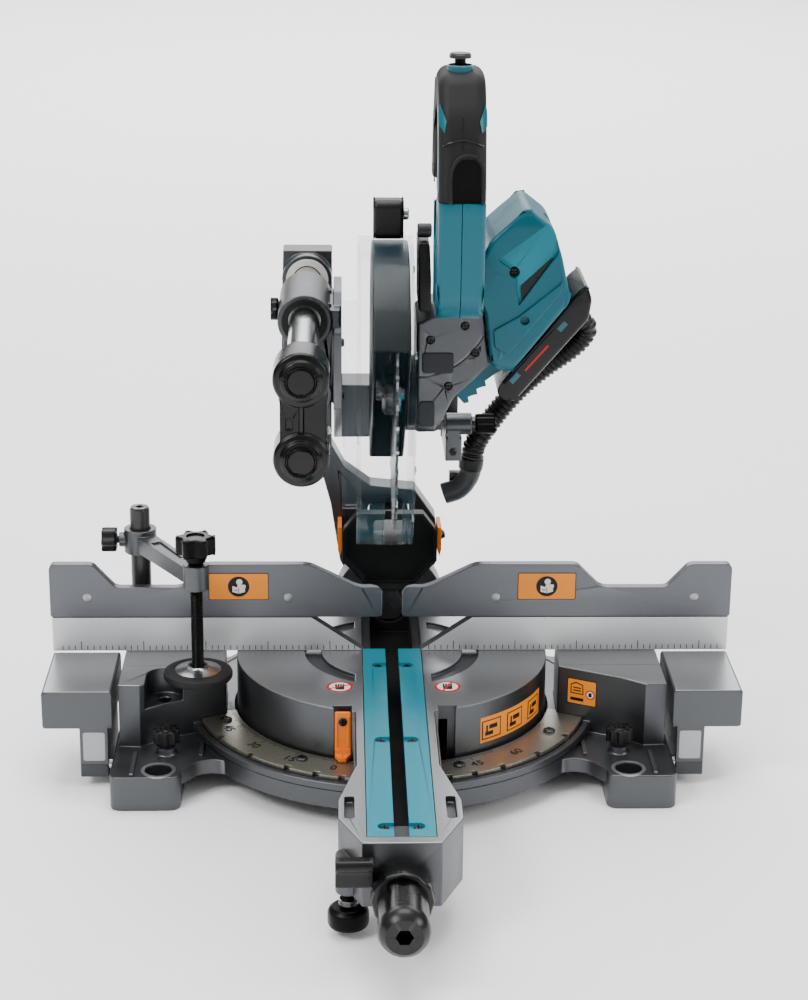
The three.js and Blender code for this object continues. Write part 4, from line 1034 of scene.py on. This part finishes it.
lock_grip()
detent_lever()
foot_screw()

# ---- bevel pivot, dust funnel and rails ----

RAIL_X, RAIL_HIGH, RAIL_LOW, RAIL_R = -69, 278, 220, 11.5


def bevel_arm():
    upright = [*arc(36, -200, 20, 48), (42, 28), (40, 66), (22, 92), (-16, 96), (-38, 112), (-49, 132), (-49, 205),
               (-48.6, 300), (-89, 300), (-91, 205), (-66, 140), (-50, 80), (-42, 28)]
    plate = prism("y", upright, 136, 160)
    holders = [rod("y", 20.5, 124, 162, (RAIL_X, z), 72) for z in (RAIL_LOW, RAIL_HIGH)]
    cuts = [rod("y", RAIL_R + 0.3, 120, 159, (RAIL_X, z)) for z in (RAIL_LOW, RAIL_HIGH)]
    cuts.append(prism("y", rounded(rectangle(-18, 18, 50, 80), 5), 130, 170))
    cuts.append(rod("y", 10.4, 130, 170))
    cuts.append(prism("y", rounded([(-58, 150), (-82, 200), (-82, 204), (-56, 204), (-53, 150)], 3), 134, 138.5))
    cuts.append(prism("y", rounded([(-30, 40), (-40, 78), (-44, 110), (-24, 84), (-24, 40)], 3), 134, 138.5))
    place(cut(join(plate, *holders), *cuts), "bevel_arm_casting", "bevel", CAST, ["bevel_arm"], 1.0, 3)
    rings = []
    for z in (RAIL_LOW, RAIL_HIGH):
        rings.append(washer("y", RAIL_R + 0.45, 17.4, 122.6, 124.3, (RAIL_X, z)))
    place(gathered(rings), "rail_rear_rings", "bevel", RING_WHITE, soften=0.3)


def washer(axis, inner, outer, start, end, centre):
    return cut(rod(axis, outer, start, end, centre), rod(axis, inner, start - 1, end + 1, centre))


def rails():
    for z, name in ((RAIL_LOW, "lower"), (RAIL_HIGH, "upper")):
        made = cut(rod("y", RAIL_R, -178, 158, (RAIL_X, z), 72), rod("y", 8.5, -179, 159, (RAIL_X, z), 48))
        place(made, f"rail_tube_{name}", "bevel", STEEL, [f"rail_{name}"], 0.5, 2)
    web = rectangle(RAIL_X - 15, RAIL_X + 18, RAIL_LOW, RAIL_HIGH)
    parts = [prism("y", web, -184, -156)]
    for z in (RAIL_LOW, RAIL_HIGH):
        parts.append(turned("y", [(0, -190), (11, -190), (14.6, -188.6), (15, -186.4), (18.6, -186), (20, -184),
                                  (20, -152), (0, -152)], (RAIL_X, z), 72))
    cuts = [rod("y", RAIL_R + 0.3, -178.3, -150, (RAIL_X, z)) for z in (RAIL_LOW, RAIL_HIGH)]
    cuts += [washer("y", 9.5, 11, -191, -189.4, (RAIL_X, z)) for z in (RAIL_LOW, RAIL_HIGH)]
    groove = rounded(rectangle(RAIL_X - 1.5, RAIL_X + 1.5, RAIL_LOW + 18, RAIL_HIGH - 16), 1)
    cuts.append(prism("y", groove, -185, -182.8))
    cuts.append(prism("y", rounded(rectangle(RAIL_X - 11, RAIL_X - 6, RAIL_LOW + 22, RAIL_LOW + 30), 1.5), -185, -183))
    place(cut(join(*parts), *cuts), "rail_cap_moulding", "bevel", BLACK_GLOSS, ["rail_front_cap"], 0.8, 3)
    pin = turned("y", [(0, -153), (2.6, -153), (2.6, -150.4), (1.4, -150), (0, -150)], (-50, 232), 24)
    place(pin, "rail_cap_pin", "bevel", ZINC, soften=0)


def dust_funnel():
    outer = [(-22, 22), (22, 22), (40, 42), (40, 68), (28, 84), (-28, 84), (-40, 68), (-40, 42)]
    inner = [(x * 0.93, 53 + (z - 53) * 0.92) for x, z in outer]
    hood = prism("y", outer, 96, 107.5)
    mouth = join(prism("y", inner, 95, 103), box(-4, 4, 95, 104, 70, 90))
    pipe = prism("y", rounded(rectangle(-16.5, 16.5, 51.5, 78.5), 5), 104, 182)
    bore = prism("y", rounded(rectangle(-14, 14, 54, 76), 4), 100, 183)
    place(cut(join(cut(hood, mouth), pipe), bore), "dust_funnel_moulding", "bevel", BLACK, ["dust_funnel"], 0.5, 2)


def bevel_pointers():
    for side, name in SIDES:
        x = side * 42.1
        made = join(
            prism("y", [(x - 1.7, 70), (x + 1.7, 70), (x + 1.7, 50), (x, 44), (x - 1.7, 50)], 101, 110),
            prism("y", rectangle(x - 1.7, x + 1.7, 56, 68), 105, 135.7),
        )
        place(made, f"bevel_pointer_arm_{name}", "bevel", ORANGE, [f"bevel_pointer_{name}"], 0.3, 2)
        place(cross_head("x", 2.6, x + side * 1.7, side, (112, 62), 1.2), f"bevel_pointer_screw_{name}", "bevel",
              BLACK_STEEL, soften=0)


def bevel_lever():
    hub = turned("y", [(0, 176.3), (14, 176.3), (14, 188), (12.6, 190), (0, 190)], (0, 0), 60)
    handle = bevelled(prism("y", rounded([(-5, 0), (5, 0), (7, 62), (-7, 62)], 3), 180, 188), 1.5, 4, 50)
    made = cut(join(hub, turn(handle, "y", 50)), rod("y", 6, 189, 191, (0, 0), 6))
    place(made, "bevel_lever_moulding", "bevel_lever", BLACK, ["bevel_lock_lever"], 0)


bevel_arm()
rails()
dust_funnel()
bevel_pointers()
bevel_lever()

# ---- carriage ----

STOP = (80, 168)
HUB_Y, HUB_Z = -14, 223
PIVOT = (158, 160)


def carriage():
    bosses = [rod("y", 20.8, -18, 66, (RAIL_X, z), 72) for z in (RAIL_LOW, RAIL_HIGH)]
    side_view = [(-16, 268), (-16, 208), (40, 180), (140, 138), (178, 138), (178, 184), (120, 230), (60, 296),
                 (10, 296)]
    cross = cut(
        box(-47, 58, 140, 178, 138, 184),
        join(box(-12, 44, 139, 179, 144, 185), box(-12, 44, 139, 160, 137, 185)),
    )
    made = join(
        *bosses,
        box(RAIL_X - 14, RAIL_X + 14, -12, 60, 225, 273),
        prism("x", side_view, -47, -40.6),
        box(-60, -42, -12, 60, 212, 286),
        cross,
        box(44.5, 58, 72, 142, 138, 158),
        rod("x", 9, 44.5, 66, STOP),
        box(46, 56, 72, 88, 138, 168),
    )
    pocket = prism("x", rounded([(-6, 262), (-6, 218), (40, 196), (104, 172), (108, 206), (58, 264)], 6), -47.6, -45.4)
    made = cut(
        made,
        rod("y", 15.3, -16, 64, (RAIL_X, RAIL_HIGH)),
        rod("y", 12.6, -19, 67, (RAIL_X, RAIL_HIGH)),
        rod("y", 12.6, -19, 67, (RAIL_X, RAIL_LOW)),
        rod("x", 8.3, -48, 59, PIVOT),
        rod("x", 3.4, RAIL_X - 30, RAIL_X - 12, (24, RAIL_HIGH)),
        rod("x", 4.4, 44, 67, STOP),
        box(RAIL_X - 30, RAIL_X - 20.4, 12, 36, RAIL_HIGH - 10, RAIL_HIGH + 10),
        pocket,
    )
    place(made, "carriage_casting", "slider", CAST, ["carriage"], 1.1, 3)
    seals = [washer("y", 12.8, 17.6, -19.2, -17.4, (RAIL_X, z)) for z in (RAIL_LOW, RAIL_HIGH)]
    place(gathered(seals), "carriage_seals", "slider", BLACK, soften=0.3)
    bolts = []
    for y, z in ((0, 292), (46, 292)):
        bolts.append(cross_head("z", 3.6, 286, 1, (-52, y), 2.4))
    for y, z in ((4, 214), (28, 250)):
        bolts.append(cross_head("x", 3.4, -40.6, 1, (y, z), 2.0))
    bolts.append(cross_head("y", 3.2, 72, -1, (51, 146), 2.0))
    place(gathered(bolts), "carriage_bolts", "slider", BLACK_STEEL, soften=0)


def stop_screw():
    made = join(
        thread(4, 48, 70, 1.5, "x", STOP),
        star_top("x", 8.5, 69, 86, STOP, 8),
        turned("x", [(0, 66.3), (6, 66.3), (6, 69), (0, 69)], STOP),
    )
    place(made, "depth_stop_thumbscrew", "depth_stop", BLACK_STEEL, ["depth_stop_screw"], 0)


def slide_knob():
    made = join(star_top("x", 9, -96, -89.9, (24, RAIL_HIGH), 8), rod("x", 3.1, -94, -85, (24, RAIL_HIGH)))
    place(made, "slide_knob_star", "slide_knob", BLACK, ["slide_lock_knob"], 0)


def elbow():
    line = catmull([(68, 105, 128.6), (66.4, 105, 116), (58, 105, 104), (45, 105, 99)], 14)
    pipe = tube(line, [9.0] * len(line), 40)
    made = join(pipe, box(50, 60, 110, 117.6, 100, 116))
    place(made, "dust_elbow_pipe", "slider", GREY_PLASTIC, ["dust_elbow"], 0.5, 2)
    cuff = tube([Vector((68.3, 105, 131)), Vector((67.9, 105, 126)), Vector((67.2, 105, 121))], [10.4, 10.4, 10.0], 40)
    place(cuff, "dust_elbow_cuff", "slider", BLACK, soften=0.6)


carriage()
stop_screw()
slide_knob()
elbow()

# ---- gear case, motor and battery ----

MOTOR_DIR = Vector((0.62, 0.0, 0.785)).normalized()
MOTOR_MID = Vector((90, HUB_Y, 316))
MOTOR_TILT = math.degrees(math.atan2(0.62, 0.785))


def motor_tube(radius, start, end):
    made = rod("z", radius, start, end, sides=64)
    made.data.transform(Matrix.Translation(MOTOR_MID) @ Matrix.Rotation(math.radians(MOTOR_TILT), 4, "Y"))
    return made


def gear_case():
    outline = [(16, 198), (31, 198), (44, 226), (59.5, 240.5), (71.2, 252), (65.2, 297), (52, 296), (30, 291),
               (16, 284)]
    chamfered = rounded(rectangle(-48, 26, 196, 306), 14)
    body = meet(prism("y", rounded(outline, 2, 3), -54, 30), prism("x", chamfered, 10, 80))
    arm_side = [(10, 250), (0, 196), (60, 176), *arc(15, -110, 70, 30, PIVOT), (70, 222)]
    made = join(
        bevelled(body, 2.2, 4, 50),
        prism("x", arm_side, 18, 40),
        rod("x", 15, 4, 43.4, PIVOT),
        rod("y", 8, 20, 49.7, (60, 268)),
        box(45, 63, 15, 28, 258, 280),
    )
    seam = cut(
        cut(rod("y", 58, -49, -46.6, (14, 300), 120), rod("y", 56.6, -50, -46, (14, 300), 120)),
        box(-50, 17, -60, -40, 200, 400),
    )
    holes = [rod("y", 3.2, -49, -45.5, at) for at in ((52, 283), (26, 272), (40, 236), (60, 262))]
    made = cut(
        made,
        rod("x", 8.3, 3, 50, PIVOT),
        rod("x", 8.5, 10, 42, (HUB_Y, HUB_Z)),
        rod("x", 27, 20, 33, (HUB_Y, HUB_Z)),
        motor_tube(9, -100, -20),
        rod("y", 6, 36, 51, (60, 268)),
        seam,
        *holes,
    )
    place(made, "gear_case_casting", "head", CAST, ["gear_case"], 0.7, 2)
    screws = [cross_head("y", 2.8, -46.4, -1, at, 1.6) for at in ((52, 283), (26, 272), (40, 236), (60, 262))]
    place(gathered(screws), "gear_case_screws", "head", BLACK_STEEL, soften=0)
    web = []
    for x0, x1, z0, z1 in ((18, 30, 204, 224), (20, 44, 246, 262)):
        web.append(prism("y", rounded(rectangle(x0, x1, z0, z1), 3), -49.2, -47.6))
    place(gathered(web), "gear_case_ribs", "head", CAST_DARK, soften=0.5)


def slanted(along0, along1, across0, across1, y0, y1, corner=1.5):
    """A rounded slab on the motor's slant: along its axis, across it, and front to back."""
    outline = rounded(rectangle(along0, along1, across0, across1), corner)
    axis = MOTOR_DIR
    side = Vector((axis.z, 0, -axis.x))
    points = []
    for a, c in outline:
        at = MOTOR_MID + axis * a + side * c
        points.append((at.x, at.z))
    return prism("y", points, y0, y1)


def motor():
    outline = [(66, 297), (72, 252), (86, 246), (131, 303), (124, 335), (117, 358), (97, 374), (70, 350), (61, 330),
               (58, 305.5)]
    chamfered = rounded(rectangle(-54, 30, 240, 380), 22, 8)
    shell = meet(prism("y", rounded(outline, 5, 4), -54, 30), prism("x", chamfered, 40, 140))
    shell = bevelled(shell, 3.4, 5, 50)
    teeth = []
    for i in range(3):
        x, z = 53 + i * 6.5, 218 + i * 6.5
        teeth += [(x, z), (x + 4, z + 1), (x + 3, z + 5)]
    fin = prism("y", [(84, 247), (72.4, 251.2), (60.4, 239.7), (46.5, 225.6), *teeth], -34, 8)
    recess = prism("y", rounded([(75.4, 334.5), (116.9, 365.7), (121, 341), (91.6, 299.5), (89.2, 325.4)], 2, 4),
                   -56, -50.6)
    step = bevelled(prism("y", rounded([(73, 281.3), (92, 292.2), (124, 318.5), (124, 311), (84.6, 262), (74, 268)],
                                       2, 4), -55.6, -52), 1.0, 3, 50)
    dimple = rod("y", 3.4, -57, -52, (96.4, 289))
    vents = []
    for i in range(5):
        vents.append(slanted(20 + i * 6, 23 + i * 6, -12, 10, 26, 32, 1.2))
    made = join(shell, fin, step)
    made = cut(made, motor_tube(30, -32, 26), motor_tube(9.5, -70, -30), motor_tube(12, 20, 60), recess, dimple,
               rod("y", 4, -56, -47, (88, 325.1)), *vents)
    floor = (lambda at, out: out[1] < -0.9 and -51 < at[1] < -50)
    place(made, "motor_housing_shell", "head", TEAL, ["motor_housing"], 0.35, 2,
          [(TEAL_DEEP, floor)])
    plate = prism("y", rounded([(93.9, 300.5), (92.9, 314.4), (116.3, 336.6), (116.3, 322)], 1, 3), -51.2, -50.3)
    place(plate, "motor_plate", "head", BLACK_GLOSS, soften=0.15)
    place(cross_head("y", 3.0, -47.2, -1, (88, 325.1), 1.8), "motor_screw", "head", BLACK_STEEL, soften=0)
    cover = bevelled(prism("y", rounded([(16.6, 345), (25, 345), (26.4, 318), (26.4, 292.5), (17, 292.5)], 3, 4),
                           -44, 8), 1.4, 3, 50)
    place(cover, "guard_link_cover", "head", BLACK, soften=0)
    pin = turned("x", [(0, 16), (4.6, 16), (5.4, 17), (5.4, 26), (4, 26.8), (0, 26.8)], (-30, 352), 36)
    place(pin, "guard_link_pin", "head", BLACK_STEEL, soften=0)


def battery():
    outline = [(81.9, 238.3), (77.5, 231), (80, 225), (91, 222), (146, 287), (148, 302), (144, 314), (136.2, 307.5)]
    body = bevelled(prism("y", rounded(outline, 3, 4), -44, 24), 3, 5, 50)
    lines = []
    side = Vector((0.756, 0.0, -0.655)).normalized()
    axis = Vector((0.655, 0.0, 0.756)).normalized()
    start = Vector((91, 0, 222)) + Vector((-4, 0, 6))
    for offset in (10, 14.5):
        a = start - side * offset + axis * 4
        b = a + axis * 76
        lines.append(prism("y", [(a.x, a.z), (b.x, b.z), (b.x + side.x, b.z + side.z), (a.x + side.x, a.z + side.z)],
                           -45, -43.3))
    place(cut(body, *lines), "battery_pack_shell", "battery_pack", BLACK_GLOSS, ["battery"], 0.3, 2)
    marks = []
    for along, long in ((8, 9), (62, 8)):
        a = start - side * 3.6 + axis * along
        b = a + axis * long
        marks.append(prism("y", [(a.x, a.z), (b.x, b.z), (b.x - side.x * 4, b.z - side.z * 4),
                                 (a.x - side.x * 4, a.z - side.z * 4)], -44.25, -43.6))
    place(gathered(marks), "battery_marks", "battery_pack", TEAL, soften=0)
    a = start - side * 3 + axis * 22
    b = a + axis * 26
    stripe = prism("y", [(a.x, a.z), (b.x, b.z), (b.x - side.x * 1.6, b.z - side.z * 1.6),
                         (a.x - side.x * 1.6, a.z - side.z * 1.6)], -44.25, -43.6)
    place(stripe, "battery_stripe", "battery_pack", RED_INK, soften=0)

gear_case()
motor()
battery()

# ---- handle and switch ----

HANDLE_OUTER = [(-54.5, 304), (-116, 304), (-129, 318), (-134, 392), (-121, 452), (-104, 478), (-72, 482),
                (-34, 470), (-10, 440), (-2, 400), (-4, 382), (-54.5, 382)]
FINGER_HOLE = [(-96, 350), (-100, 398), (-92, 438), (-74, 447), (-46, 440), (-32, 412), (-30, 396), (-56, 384),
               (-60, 350)]


def handle_body(edge):
    loop = cut(
        prism("x", rounded(HANDLE_OUTER, 9, 8), 27, 61),
        prism("x", rounded(FINGER_HOLE, 8, 8), 26, 62),
    )
    return bevelled(loop, edge, 6, 60)


def handle():
    for side, name in SIDES:
        half = (44.15, 80) if side > 0 else (10, 43.85)
        made = meet(handle_body(4.2), box(*half, -150, -54.4, 290, 391.85))
        side_x = 61 if side > 0 else 27
        panel = prism("x", rounded([(-112, 316), (-122, 330), (-126, 380), (-108, 384), (-104, 330)], 4, 4),
                      *sorted((side_x - side * 0.9, side_x + side)))
        place(cut(made, panel), f"handle_half_{name}", "head", TEAL, [f"handle_shell_{name}"], 0.5, 2)
    grip = meet(handle_body(8.5), box(10, 80, -150, 10, 392.15, 500))
    slope = 12.2
    arch = prism("y", rounded([(36.4, 390), (36.2, 414), (42, 423.5), (54.6, 423.5), (57.2, 414), (57.4, 390)], 5, 5),
                 -140, -130.8)
    made = cut(
        grip,
        turn(arch, "x", -slope, (44, -134, 392)),
        box(36.7, 51.3, -110, -88, 395, 431),
        rod("z", 4.4, 462, 490, (43, -88)),
    )
    foot = cut(box(31, 57, -40, -4, 378, 396), box(20, 70, -57, 2, 370, 378))
    made = join(made, foot)
    hollow = (lambda at, out: out[1] < -0.9 and 392.5 < at[2] < 421 and 37 < at[0] < 56.5 and at[1] < -120)
    place(made, "handle_grip_rubber", "head", RUBBER, ["handle_grip"], 0.4, 2, [(BLACK_GLOSS, hollow)])
    rim_at = [(35.6, 392), (35.4, 410), (37.6, 418), (42, 423.6), (48, 425), (54, 423.6), (57.6, 418), (58.6, 410),
              (58.4, 392)]
    tilt = math.tan(math.radians(slope))
    line = catmull([(x, -133.7 + (z - 392) * tilt, z) for x, z in rim_at], 8)
    place(tube(line, [1.5] * len(line), 16), "grip_arch_rim", "head", RUBBER, soften=0)
    seam = catmull([(44, -133.9 + (z - 392) * tilt, z) for z in (427, 436, 445, 451)], 6)
    place(tube(seam, [0.35] * len(seam), 8), "grip_seam", "head", BLACK_GLOSS, soften=0)
    arc_line = catmull([(30, -124.6, 431.4), (36, -126.6, 434.4), (44, -126.4, 436), (52, -126.6, 434.4),
                        (58.6, -124.6, 431.4)], 8)
    place(tube(arc_line, [0.5] * len(arc_line), 8), "grip_seam_arc", "head", BLACK_GLOSS, soften=0)
    for side, name in SIDES:
        flash = [(27.0, 463), (32.8, 448), (31.5, 440), (26, 448)] if side < 0 else [(61, 463), (55.4, 448),
                                                                                     (57, 440), (62.5, 446)]
        made = meet(handle_body(8.0), prism("y", flash, -136, -112))
        made.data.transform(Matrix.Translation((44, -0.45, 0)) @ Matrix.Diagonal((1.03, 1, 1, 1))
                            @ Matrix.Translation((-44, 0, 0)))
        place(made, f"grip_flash_{name}", "head", TEAL, soften=0)
        x = 44 + side * 17.0
        stripe = prism("x", rounded([(-126, 398), (-117, 398), (-109, 436), (-99, 452), (-104, 458), (-116, 440)],
                                    2.4, 3), *sorted((x - side * 1.4, x + side * 0.05)))
        place(stripe, f"handle_inlay_{name}", "head", TEAL, soften=0.3)
    crown = turned("z", [(0, 478), (9.4, 478), (9.4, 482.6), (8.2, 483.6), (4.6, 483.6), (4.6, 478.2), (0, 478.2)],
                   (43, -88), 40)
    crown = cut(crown, rod("z", 4.4, 477, 485, (43, -88)), rod("z", 8.4, 479.4, 485, (43, -88)))
    place(crown, "grip_crown", "head", TEAL, soften=0)
    made = join(
        prism("x", rounded([(-103, 396), (-88, 398), (-86, 412), (-82, 427), (-101, 430)], 2.5, 4), 37, 51),
    )
    place(bevelled(made, 1.6, 4, 50), "switch_trigger_lever", "switch_trigger", BLACK, ["trigger"], 0)
    button = turned("z", [(0, 469), (4, 469), (4, 488), (7.8, 488), (7.8, 490.4), (6.8, 491.5), (0, 491.5)],
                    (43, -88))
    place(button, "lock_off_pin", "lock_off", BLACK_STEEL, ["lock_off_button"], 0)


handle()

# ---- blade and guards ----


def hub_arc(radius, start, end, steps):
    """Points about the blade's axis, angles in degrees from straight back, turning up and forward."""
    return arc(radius, start, end, steps, (HUB_Y, HUB_Z))


def ring_sector(outer, inner, start, end, x0, x1):
    steps = max(8, int((end - start) / 3))
    return prism("x", [*hub_arc(outer, start, end, steps), *hub_arc(inner, end, start, steps)], x0, x1)


def saw_blade():
    outline = []
    for i in range(36):
        for a, r in ((0, 108), (0.1, 107.8), (0.35, 106.5), (0.5, 103.6), (0.62, 101), (0.72, 100), (0.86, 99.6),
                     (0.95, 101)):
            angle = 2 * math.pi * (i + a) / 36
            outline.append((HUB_Y + r * math.cos(angle), HUB_Z + r * math.sin(angle)))
    made = cut(prism("x", outline, -0.9, 0.9), rod("x", 8.3, -2, 2, (HUB_Y, HUB_Z)))
    slots = []
    for i in range(4):
        slots.append(turn(box(-2, 2, HUB_Y + 84, HUB_Y + 103, HUB_Z - 0.5, HUB_Z + 0.5), "x", 45 + 90 * i,
                          (0, HUB_Y, HUB_Z)))
    place(cut(made, *slots), "saw_blade_disc", "blade", BLADE_STEEL, ["saw_blade"], 0)
    tips = []
    for i in range(36):
        tip = box(-1.2, 1.2, HUB_Y + 101.5, HUB_Y + 107.9, HUB_Z - 2.4, HUB_Z - 0.1)
        tips.append(turn(tip, "x", 10 * i, (0, HUB_Y, HUB_Z)))
    place(gathered(tips), "saw_blade_tips", "blade", ZINC, soften=0)


def arbor():
    made = join(
        rod("x", 3.7, -8, 8, (HUB_Y, HUB_Z)),
        cut(turned("x", [(0, -9.5), (16, -9.5), (19, -7), (19, -1.3), (0, -1.3)], (HUB_Y, HUB_Z)),
            rod("x", 9, -6.2, 0, (HUB_Y, HUB_Z))),
        cut(turned("x", [(0, -14), (7.4, -14), (8, -13), (8, -9), (0, -9)], (HUB_Y, HUB_Z)),
            rod("x", 4.4, -15, -10.6, (HUB_Y, HUB_Z), 6)),
    )
    place(made, "arbor_bolt_head", "blade", BLACK_STEEL, ["arbor_bolt"], 0)


def blade_case():
    low = [(HUB_Y - 30, HUB_Z - 22), (HUB_Y + 12, HUB_Z - 30), (HUB_Y + 60, HUB_Z - 66)]
    low_open = [(HUB_Y - 32, HUB_Z - 26), (HUB_Y + 12, HUB_Z - 36), (HUB_Y + 60, HUB_Z - 76)]
    made = join(
        bevelled(prism("x", [*hub_arc(115.5, -44, 150, 90), *low], -18, 10), 1.6, 3, 50),
        rod("x", 27.5, 8, 15.7, (HUB_Y, HUB_Z), 72),
    )
    made = cut(
        made,
        prism("x", [*hub_arc(113, -46, 152, 90), *low_open], -16, 8),
        rod("x", 20, -19, -15, (HUB_Y, HUB_Z)),
        rod("x", 12, 7, 16, (HUB_Y, HUB_Z)),
        rod("x", 21, 7, 8.5, (HUB_Y, HUB_Z)),
    )
    place(made, "blade_case_moulding", "head", BLACK, ["upper_blade_case"], 0.4, 2)


def lower_guard():
    front, to, (x0, x1) = 84, 292, (-29, 13.4)
    made = join(
        ring_sector(119.5, 28.6, front, to, x1 - 2, x1),
        ring_sector(119.5, 42, front, to, x0, x0 + 2),
        ring_sector(119.5, 117.1, front, to, x0, x1),
        washer("x", 28.6, 34, x1 - 2, x1, (HUB_Y, HUB_Z)),
    )
    flange = join(
        ring_sector(92, 44, 118, 262, -39.8, -37.8),
        ring_sector(92, 89.5, 118, 262, -39.8, x0 + 1),
    )
    cuts = [ring_sector(121.5, 113.5, 206, 246, -9, 4.5), ring_sector(121.5, 107.5, 254, to + 1, -6.5, 2.5)]
    place(cut(join(made, flange), *cuts), "lower_guard_shell", "guard", CLEAR, ["lower_guard"], 0.35, 2)
    ribs = [
        ring_sector(119.3, 116.8, 96, 286, 11.2, 13.3),
        ring_sector(119.3, 116.8, 96, 286, -28.9, -26.8),
        ring_sector(96, 94.6, 100, 284, 12.4, 13.35),
    ]
    place(gathered(ribs), "lower_guard_ribs", "guard", CLEAR, soften=0.2)
    frames = []
    for start, end, a, b in ((204.5, 206, -10.5, 6), (246, 247.5, -10.5, 6)):
        frames.append(ring_sector(119.45, 118.2, start, end, a, b))
    frames.append(ring_sector(119.45, 118.2, 206, 246, -10.5, -9))
    frames.append(ring_sector(119.45, 118.2, 206, 246, 4.5, 6))
    place(gathered(frames), "lower_guard_window_frame", "guard", CLEAR, soften=0)
    rivets = []
    for degree in (100, 150, 200, 240):
        a = math.radians(degree)
        at = (HUB_Y + 101 * math.cos(a), HUB_Z + 101 * math.sin(a))
        rivets.append(turned("x", [(0, 13.2), (3, 13.2), (2.6, 14.3), (0, 14.7)], at, 24))
    place(gathered(rivets), "lower_guard_rivets", "guard", ZINC, soften=0)


def lift_lug():
    outline = [(HUB_Y - 8, HUB_Z + 119.9), (HUB_Y + 10, HUB_Z + 119.4), (HUB_Y + 12, HUB_Z + 146),
               (HUB_Y + 6, HUB_Z + 150), (HUB_Y - 7, HUB_Z + 150), (HUB_Y - 11, HUB_Z + 146)]
    made = join(
        bevelled(prism("x", rounded(outline, 5, 5), -17, 6), 3, 4, 50),
        turned("x", [(0, 5), (4.5, 5), (4.5, 9.2), (3.6, 10), (0, 10)], (HUB_Y + 1, HUB_Z + 138), 32),
    )
    made = cut(made, rod("x", 119.8, -18, 7, (HUB_Y, HUB_Z), 180))
    steel = (lambda at, out: at[0] > 6.4)
    place(made, "guard_lug_moulding", "guard", BLACK, ["guard_lift_lug"], 0,
          painted=[(ZINC, steel)])


saw_blade()
arbor()
blade_case()
lower_guard()
lift_lug()

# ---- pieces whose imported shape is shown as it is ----

for node, finish in (
    ("turntable_pivot_bolt", BLACK_STEEL), ("bevel_pivot_bolt", ZINC), ("linear_bearing", ZINC),
    ("head_pivot_shaft", STEEL), ("motor_stator", BLACK_STEEL), ("motor_rotor", STEEL), ("arbor_spindle", STEEL),
    ("drive_gear", STEEL),
):
    mesh = NODES[node].data
    mesh.materials.clear()
    mesh.materials.append(finish)

# ---- studio ----


def studio():
    floor = bpy.data.meshes.new("floor")
    floor.from_pydata([(-6, -6, 0), (6, -6, 0), (6, 8, 0), (-6, 8, 0)], [], [(0, 1, 2, 3)])
    plate = bpy.data.objects.new("floor", floor)
    bpy.context.scene.collection.objects.link(plate)
    pale = surface("studio_floor", "fdfdfd", 0.6, grain=6, bump=0.0, vary=0.01, spread=0.02)
    floor.materials.append(pale)
    world = bpy.data.worlds.new("studio")
    world.use_nodes = True
    nodes, links = world.node_tree.nodes, world.node_tree.links
    where = nodes.new("ShaderNodeTexCoord")
    split = nodes.new("ShaderNodeSeparateXYZ")
    ramp = nodes.new("ShaderNodeValToRGB")
    links.new(where.outputs["Generated"], split.inputs["Vector"])
    links.new(split.outputs["Z"], ramp.inputs["Fac"])
    ramp.color_ramp.elements[0].position = 0.05
    ramp.color_ramp.elements[0].color = (0.12, 0.12, 0.125, 1.0)
    ramp.color_ramp.elements[1].position = 0.75
    ramp.color_ramp.elements[1].color = (1.0, 1.0, 1.0, 1.0)
    links.new(ramp.outputs["Color"], nodes["Background"].inputs["Color"])
    nodes["Background"].inputs["Strength"].default_value = 1.0
    bpy.context.scene.world = world
    for name, at, aim, size, power in (
        ("key", (-1.5, -1.2, 2.0), (0, 0, 0.2), 0.9, 42),
        ("fill", (2.0, -0.9, 1.1), (0, 0, 0.25), 0.8, 20),
        ("top", (0.0, 0.4, 2.6), (0, 0.1, 0.1), 1.8, 66),
        ("wall", (0.0, 4.5, 2.0), (0, 4.5, 0.0), 5.0, 300),
    ):
        lamp = bpy.data.lights.new(name, "AREA")
        lamp.energy = power
        lamp.size = size
        shown = bpy.data.objects.new(name, lamp)
        shown.location = at
        shown.rotation_mode = "QUATERNION"
        shown.rotation_quaternion = (Vector(aim) - Vector(at)).to_track_quat("-Z", "Y")
        bpy.context.scene.collection.objects.link(shown)


studio()
